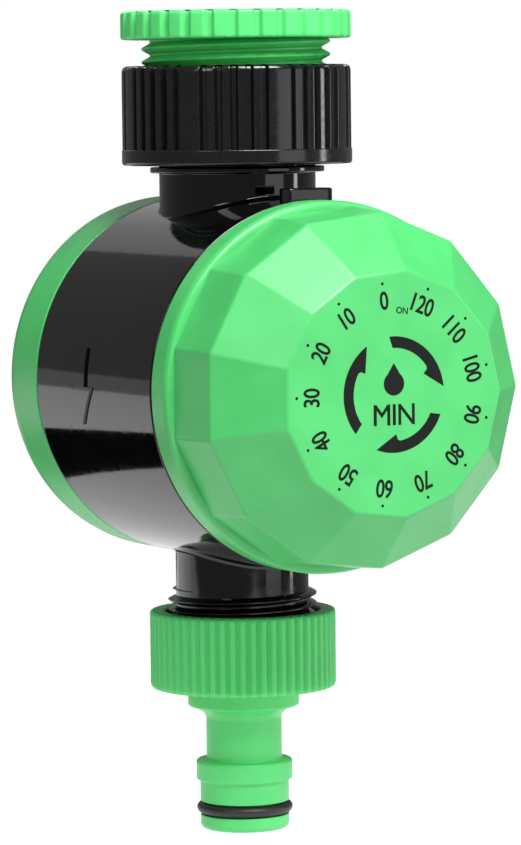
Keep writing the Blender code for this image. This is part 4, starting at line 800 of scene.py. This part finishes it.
def faceted(rings, edge):
    """A solid through rings of corners, each given as (radius, height), with its edges rounded."""
    shape = bmesh.new()
    first = math.pi / 2 + DIAL_ZERO + DIAL_STEP / 2
    rows = [
        [
            shape.verts.new((r * math.cos(first + i * DIAL_STEP), r * math.sin(first + i * DIAL_STEP), z))
            for i in range(DIAL_SIDES)
        ]
        for r, z in rings
    ]
    for lower, upper in zip(rows, rows[1:]):
        for i in range(DIAL_SIDES):
            j = (i + 1) % DIAL_SIDES
            shape.faces.new([lower[i], lower[j], upper[j], upper[i]])
    shape.faces.new(rows[0])
    shape.faces.new(rows[-1])
    bmesh.ops.recalc_face_normals(shape, faces=shape.faces)
    bmesh.ops.bevel(
        shape, geom=shape.edges[:], offset=edge, offset_type="OFFSET", segments=4, profile=0.5, affect="EDGES"
    )
    mesh = bpy.data.meshes.new("faceted")
    shape.to_mesh(mesh)
    shape.free()
    return mesh


def make_dial():
    joint = -DIAL_HIGH.y
    flange = joint + 5.2 * MM
    shoulder = joint + 15.85 * MM
    skirt = faceted([(31.0 * MM, flange - 2 * MM), (30.03 * MM, shoulder), (20.6 * MM, DIAL_FACE)], 0.35 * MM)
    skirt.transform(DIAL_FRAME)
    dial = new_object("timer_dial", skirt)
    ceiling = DIAL_FACE - 2 * MM
    cavity = lathe("cavity", outline([
        (0, ceiling), (21.0 * MM, ceiling, MM), (DIAL_CAVITY, shoulder - 1.6 * MM, 1.5 * MM),
        (DIAL_CAVITY, joint - MM), (0, joint - MM),
    ]), 128, place=DIAL_FRAME)
    cut_away(dial, cavity)
    ring = lathe("flange", outline([
        (CASE_RADIUS, joint, 0.25 * MM), (CASE_RADIUS, flange, 1.6 * MM), (28.6 * MM, flange),
        (DIAL_CAVITY, flange - 0.8 * MM), (DIAL_CAVITY, joint, 0.3 * MM), (CASE_RADIUS, joint, 0.25 * MM),
    ]), 384, place=DIAL_FRAME)
    hub_root, hub_end = DIAL_FACE - 1.9 * MM, DIAL_FACE - DIAL_HUB_DEPTH
    hub = lathe("hub", outline([
        (DIAL_HUB, hub_root), (DIAL_HUB, hub_end, 0.3 * MM), (DIAL_HUB_BORE, hub_end, 0.3 * MM),
        (DIAL_HUB_BORE, hub_root), (DIAL_HUB, hub_root),
    ]), 64, place=DIAL_FRAME)
    dial.data = joined("timer_dial", [dial.data, ring, hub])
    dial.data.set_sharp_from_angle(angle=math.radians(28))
    for polygon in dial.data.polygons:
        if polygon.area > FACET_AREA:
            polygon.use_smooth = False
    finish_piece(dial, GREEN, "dial", "dial")


def printed(name, mesh):
    """A print on the dial's face, its mesh flat at height 0."""
    mesh.transform(DIAL_FRAME @ Matrix.Translation((0, 0, DIAL_FACE)))
    obj = new_object(name, mesh)
    return finish_piece(obj, INK, "dial")


def embolden(shape, weight):
    """Moves every outer edge of a flat shape outwards by weight."""
    bmesh.ops.remove_doubles(shape, verts=shape.verts, dist=WELD)
    outward = {}
    for edge in shape.edges:
        if edge.is_boundary:
            start, end = (vertex.co for vertex in edge.verts)
            across = (end - start).normalized().cross(Vector((0, 0, 1)))
            if across.dot(edge.link_faces[0].calc_center_median() - start) > 0:
                across.negate()
            for vertex in edge.verts:
                outward[vertex] = outward.get(vertex, Vector()) + across
    for vertex, total in outward.items():
        reach = min(2 * weight / max(total.length, WELD), 1.6 * weight)
        vertex.co += total.normalized() * reach


def lettering(words, size, weight, narrow=0.82):
    """A mesh of words, centred on the origin, with strokes made bolder by weight and letters narrowed."""
    curve = bpy.data.curves.new("words", "FONT")
    curve.body = words
    curve.size = size
    curve.resolution_u = 6
    curve.space_character = 0.95
    obj = new_object("words", curve)
    graph = bpy.context.evaluated_depsgraph_get()
    flat = bpy.data.meshes.new_from_object(obj.evaluated_get(graph), depsgraph=graph)
    bpy.data.objects.remove(obj)
    shape = bmesh.new()
    shape.from_mesh(flat)
    bmesh.ops.scale(shape, vec=(narrow, 1, 1), verts=shape.verts)
    embolden(shape, weight)
    across = [vertex.co.x for vertex in shape.verts]
    upright = [vertex.co.y for vertex in shape.verts]
    middle = Vector((min(across) + max(across), min(upright) + max(upright), PRINT_HEIGHT)) / 2
    bmesh.ops.translate(shape, vec=-middle, verts=shape.verts)
    grown = bmesh.ops.extrude_face_region(shape, geom=shape.faces[:])["geom"]
    top = [item for item in grown if isinstance(item, bmesh.types.BMVert)]
    bmesh.ops.translate(shape, verts=top, vec=(0, 0, PRINT_HEIGHT))
    bmesh.ops.recalc_face_normals(shape, faces=shape.faces)
    mesh = bpy.data.meshes.new("words")
    shape.to_mesh(mesh)
    shape.free()
    return mesh


def print_layer(points):
    """A print with this outline."""
    return extruded(points, -PRINT_SINK, PRINT_HEIGHT - PRINT_SINK)


def make_scale():
    """The minutes, the ON mark between 0 and 120, and a dot for each number."""
    numeral_circle, on_circle, dot_circle, dot_radius = 15.6 * MM, 13.9 * MM, 18.4 * MM, 0.26 * MM
    numerals = []
    for index in range(DIAL_SIDES):
        turn = DIAL_ZERO + index * DIAL_STEP
        mesh = lettering(str(index * 10), 4.2 * MM, 0.07 * MM, 0.8)
        mesh.transform(Matrix.Rotation(turn, 4, "Z") @ Matrix.Translation((0, numeral_circle, 0)))
        numerals.append(mesh)
    on = lettering("ON", 1.5 * MM, 0.03 * MM, 1.0)
    turn = DIAL_ZERO - 0.48 * DIAL_STEP
    on.transform(Matrix.Rotation(turn, 4, "Z") @ Matrix.Translation((0, on_circle, 0)))
    printed("dial_numerals", joined("dial_numerals", [*numerals, on]))

    angles = [math.tau * i / 20 for i in range(20)]
    dot = new_object("dot", print_layer([(dot_radius * math.cos(a), dot_radius * math.sin(a)) for a in angles]))
    run_tree(dot, RING_TREE, Count=DIAL_SIDES, Radius=dot_circle, Start=math.pi / 2 + DIAL_ZERO)
    dots = dot.data
    bpy.data.objects.remove(dot)
    printed("dial_dots", dots)


def polar(radius, degrees):
    """A point on the dial's face at this angle clockwise from the top."""
    angle = math.pi / 2 - math.radians(degrees)
    return radius * math.cos(angle), radius * math.sin(angle)


def turning_arrow(tail, tip):
    """A curved arrow that points clockwise: its back follows the outer circle and its barb stands inside."""
    outer, inner, barb = 9.75 * MM, 7.7 * MM, 6.55 * MM
    head = 25.0  # the degrees that the head takes up
    steps = 28
    points = [polar(outer - 0.15 * MM, tail + (tip - tail) * i / steps) for i in range(steps + 1)]
    points.append(polar(barb, tip - head + 1.0))
    points.append(polar(inner - 0.25 * MM, tip - head - 1.0))
    start = tail + 3.5
    points += [polar(inner, tip - head - 4 + (start - tip + head + 4) * i / steps) for i in range(steps + 1)]
    return print_layer(points)


def water_drop(radius, up):
    """A drop: a circle this far above the dial's centre, open at the top where its sides run up to a point."""
    angles = [math.radians(38 + 284 * index / 32) for index in range(33)]
    points = [(radius * math.sin(angle), radius * math.cos(angle) + up) for angle in angles]
    return print_layer([*points, (0, up + 1.75 * radius)])


def make_print():
    """Three turning arrows round a water drop and the unit of the scale."""
    arrows = [turning_arrow(tail, tip) for tail, tip in ((-5, 84), (112, 201), (230, 328))]
    printed("dial_arrows", joined("dial_arrows", arrows))
    minutes = lettering("MIN", 4.9 * MM, 0.06 * MM, 0.98)
    minutes.transform(Matrix.Translation((0, -3.3 * MM, 0)))
    printed("dial_centre", joined("dial_centre", [water_drop(1.95 * MM, 1.8 * MM), minutes]))


# Hose connector


def make_connector():
    top, tip, rim = CONNECTOR_HIGH.z, CONNECTOR_LOW.z, CONNECTOR_HIGH.x - 0.02 * MM
    nut_low = top - 13.7 * MM
    wide, bore = G34_CREST + THREAD_CLEARANCE, 4.6 * MM
    floor = top - 11.4 * MM
    collar, collar_low = 9.8 * MM, nut_low - 3.2 * MM
    stem, stem_top = 6.65 * MM, nut_low - 4.8 * MM
    ridge, ridge_top, ridge_low = 8.45 * MM, stem_top - 8.0 * MM, stem_top - 11.5 * MM
    barrel, groove = 7.8 * MM, 6.3 * MM
    groove_top, groove_low = ORING_HIGH.z + 0.25 * MM, ORING_LOW.z - 0.25 * MM
    profile = outline([
        (rim, top, 0.7 * MM), (rim, nut_low, 0.9 * MM), (collar, nut_low, 0.4 * MM),
        (collar, collar_low, 0.35 * MM), (8.0 * MM, nut_low - 3.75 * MM, 0.8 * MM), (stem, stem_top, 2.5 * MM),
        (stem, ridge_top, 0.5 * MM), (ridge, ridge_top, 0.55 * MM), (ridge, ridge_low, 0.5 * MM),
        (barrel, ridge_low, 0.25 * MM), (barrel, groove_top, 0.2 * MM), (groove, groove_top, 0.2 * MM),
        (groove, groove_low, 0.2 * MM), (barrel, groove_low, 0.2 * MM), (barrel, tip, 1.2 * MM),
        (bore, tip, 0.4 * MM), (bore, floor, 0.3 * MM), (wide, floor, 0.3 * MM), (wide, top, 0.7 * MM),
        (rim, top, 0.7 * MM),
    ])
    # The ribs fade in over the nut's rounded ends.
    ribbed, fade = rim - 0.9 * MM, 0.5 * MM
    shell = lathe(
        "connector_shell", profile, 896, lambda radius, height: min(1.0, max(0.0, (radius - ribbed) / fade))
    )
    shell = grip_cut(
        shell, Groups=56.0, Side_Grooves=0.0, Spacing=1.0, Depth=0.6 * MM,
        Floor=0.0, Edge=math.radians(2.4), Phase=0.0,
    )
    thread = helix(
        "connector_thread", G34_PITCH, G34_ROOT + THREAD_CLEARANCE, wide, floor + 2.5 * MM, top - 0.6 * MM,
        inward=True,
    )
    connector = new_object("spigot", joined("spigot", [shell, thread]))
    # The connector takes the lighter copy of the green, which is painted light for the shade of the dial above
    # it.
    finish_piece(connector, PAINTED_LIGHT_FITTING_GREEN, "connector", "hose_connector")

    middle = (ORING_LOW.z + ORING_HIGH.z) / 2
    section = 0.9 * MM
    centre = ORING_HIGH.x - section
    angles = [math.tau * i / 32 for i in range(32)]
    circle = [(centre + section * math.cos(a), middle - section * math.sin(a)) for a in angles]
    ring = lathe("spigot_oring", [*circle, circle[0]], 192)
    finish_piece(new_object("spigot_oring", ring), RUBBER, "connector", "connector_oring")


make_adapter()
make_nut()
make_body()
make_cover()
make_screws()
make_dial()
make_scale()
make_print()
make_connector()


# Finishes of the CAD nodes that stay

INNER_FINISHES = {
    GLOSS: ["inlet_sleeve", "chamber_cap", "gland_bush"],
    RUBBER: ["inlet_washer", "chamber_seal", "valve_seat", "shaft_seal", "connector_washer"],
    ACETAL: ["inlet_strainer", "valve_rotor", "drive_shaft", "pallet_lever"],
    STEEL: [
        "cap_screw_1", "cap_screw_2", "cap_screw_3", "clock_screw_1", "clock_screw_2", "clock_screw_3",
        "clock_pillar_1", "clock_pillar_2", "clock_pillar_3", "valve_spring", "spring_washer", "mainspring",
        "second_arbor", "third_arbor", "escape_arbor", "balance_staff",
    ],
    BRASS: [
        "clock_front_plate", "clock_back_plate", "great_wheel", "second_wheel", "third_wheel", "escape_wheel",
        "balance_wheel",
    ],
}
for material, names in INNER_FINISHES.items():
    for name in names:
        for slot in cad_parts[name].material_slots:
            slot.material = material


# Studio

ROOM_LIGHT = 0.2  # of the white that the camera sees behind the object
CONNECTOR_DROP = 9.3 * MM  # how far the hose connector comes down when it is unscrewed, with a little room
BEHIND = Vector((-0.486, 0.874))  # the way that the body's flank reflects, along the floor


def light_table():
    """A matt white acrylic table lit from below: nearly even, so that shadows on it stay faint."""
    material, tree, shader = new_material(
        "light_table_acrylic", 0.8, 1.49, Emission_Color=(1, 1, 1, 1), Emission_Strength=0.93
    )
    cloud = noise(tree, 400.0, 2.0)
    tree.links.new(tint(tree, spread(tree, cloud, 0, 1), "#6C6C6C", "#727272"), shader.inputs["Base Color"])
    return material


def black_felt():
    """Black felt card: it gives back next to nothing."""
    material, tree, shader = new_material("black_felt", 0.95, Specular_IOR_Level=0.0)
    fibres = noise(tree, 2.0, 3.0)
    tree.links.new(tint(tree, spread(tree, fibres, 0, 1), "#050505", "#0A0A0A"), shader.inputs["Base Color"])
    return material


def make_studio():
    def card(name, middle, width, depth, up, material):
        """A flat rectangle that lies square to the way behind the body."""
        across, along = Vector((-BEHIND.y, BEHIND.x)) * width / 2, BEHIND * depth / 2
        corners = [middle + across * i + along * j for i, j in ((-1, -1), (-1, 1), (1, 1), (1, -1))]
        mesh = bpy.data.meshes.new(name)
        mesh.from_pydata([(*corner, up) for corner in corners], [], [(0, 1, 2, 3)])
        mesh.materials.append(material)
        obj = new_object(name, mesh)
        return obj

    # The table is long and narrow, so that upright black faces reflect the dark room beside it.
    card("studio_floor", BEHIND * 0.35, 0.6, 1.5, CONNECTOR_LOW.z - CONNECTOR_DROP, light_table())
    # A black card lies behind the body, seen only in its shine, and draws the dark band on the flank.
    flag_middle = BEHIND * 0.185 - Vector((CASE_RADIUS, 0))
    flag = card("black_card", flag_middle, 0.4, 0.12, CONNECTOR_LOW.z + MM, black_felt())
    flag.visible_camera = flag.visible_diffuse = flag.visible_shadow = False

    world = bpy.data.worlds.new("studio")
    bpy.context.scene.world = world
    world.use_nodes = True
    tree = world.node_tree
    seen = node(tree, "ShaderNodeLightPath").outputs["Is Camera Ray"]
    strength = node(tree, "ShaderNodeMapRange", {"Value": seen, 3: ROOM_LIGHT, 4: 1.0}).outputs[0]
    background = tree.nodes["Background"]
    background.inputs["Color"].default_value = (1, 1, 1, 1)
    tree.links.new(strength, background.inputs["Strength"])

    def softbox(name, way, away, size, brightness):
        """A soft light this way and this far from the dial's axis, its face this bright."""
        light = bpy.data.lights.new(name, "AREA")
        light.shape = "RECTANGLE"
        light.size, light.size_y = size
        light.energy = brightness * math.pi * size[0] * size[1]
        obj = bpy.data.objects.new(name, light)
        bpy.context.scene.collection.objects.link(obj)
        obj.location = Vector(way).normalized() * away + Vector((0, 0, AXIS_Z))
        obj.rotation_euler = Vector(way).to_track_quat("Z", "Y").to_euler()
        obj.visible_camera = False

    softbox("key", (0.0, -0.58, 0.81), 1.2, (0.7, 0.7), 19.0)
    softbox("left_fill", (-0.9, -0.5, 0.5), 1.2, (0.3, 0.5), 4.5)
    softbox("front_panel", (0.45, -0.87, 0.12), 1.5, (0.8, 0.8), 1.2)
    softbox("right_strip", (0.9, -0.4, 0.1), 1.0, (0.12, 0.5), 6.0)
    softbox("back_card", (0.223, 0.862, 0.423), 1.0, (0.554, 0.35), 0.4)
    softbox("low_card", (-0.129, 0.175, -0.031), 0.2195, (0.12, 0.068), 0.3)


def make_camera():
    """A long lens at the height of the dial, seeing the front and the left flank."""
    turn, rise, roll = math.radians(-29.082), math.radians(4.321), math.radians(-0.674)
    back = Vector((math.sin(turn) * math.cos(rise), -math.cos(turn) * math.cos(rise), math.sin(rise)))
    level = (-back).cross(Vector((0, 0, 1))).normalized()
    upright = level.cross(-back)
    right = math.cos(roll) * level + math.sin(roll) * upright
    up = -math.sin(roll) * level + math.cos(roll) * upright
    middle = Vector((0, 0, AXIS_Z))
    place = middle + back * 751.98 * MM + right * 3.619 * MM + up * -7.734 * MM
    data = bpy.data.cameras.new("camera")
    data.sensor_fit = "VERTICAL"
    data.sensor_height = 36.0
    data.lens = 183.1
    data.clip_start = 0.05
    camera = bpy.data.objects.new("camera", data)
    bpy.context.scene.collection.objects.link(camera)
    camera.matrix_world = Matrix.Translation(place) @ Matrix((right, up, back)).transposed().to_4x4()
    bpy.context.scene.camera = camera


make_studio()
make_camera()
bpy.context.scene.view_settings.view_transform = "Standard"
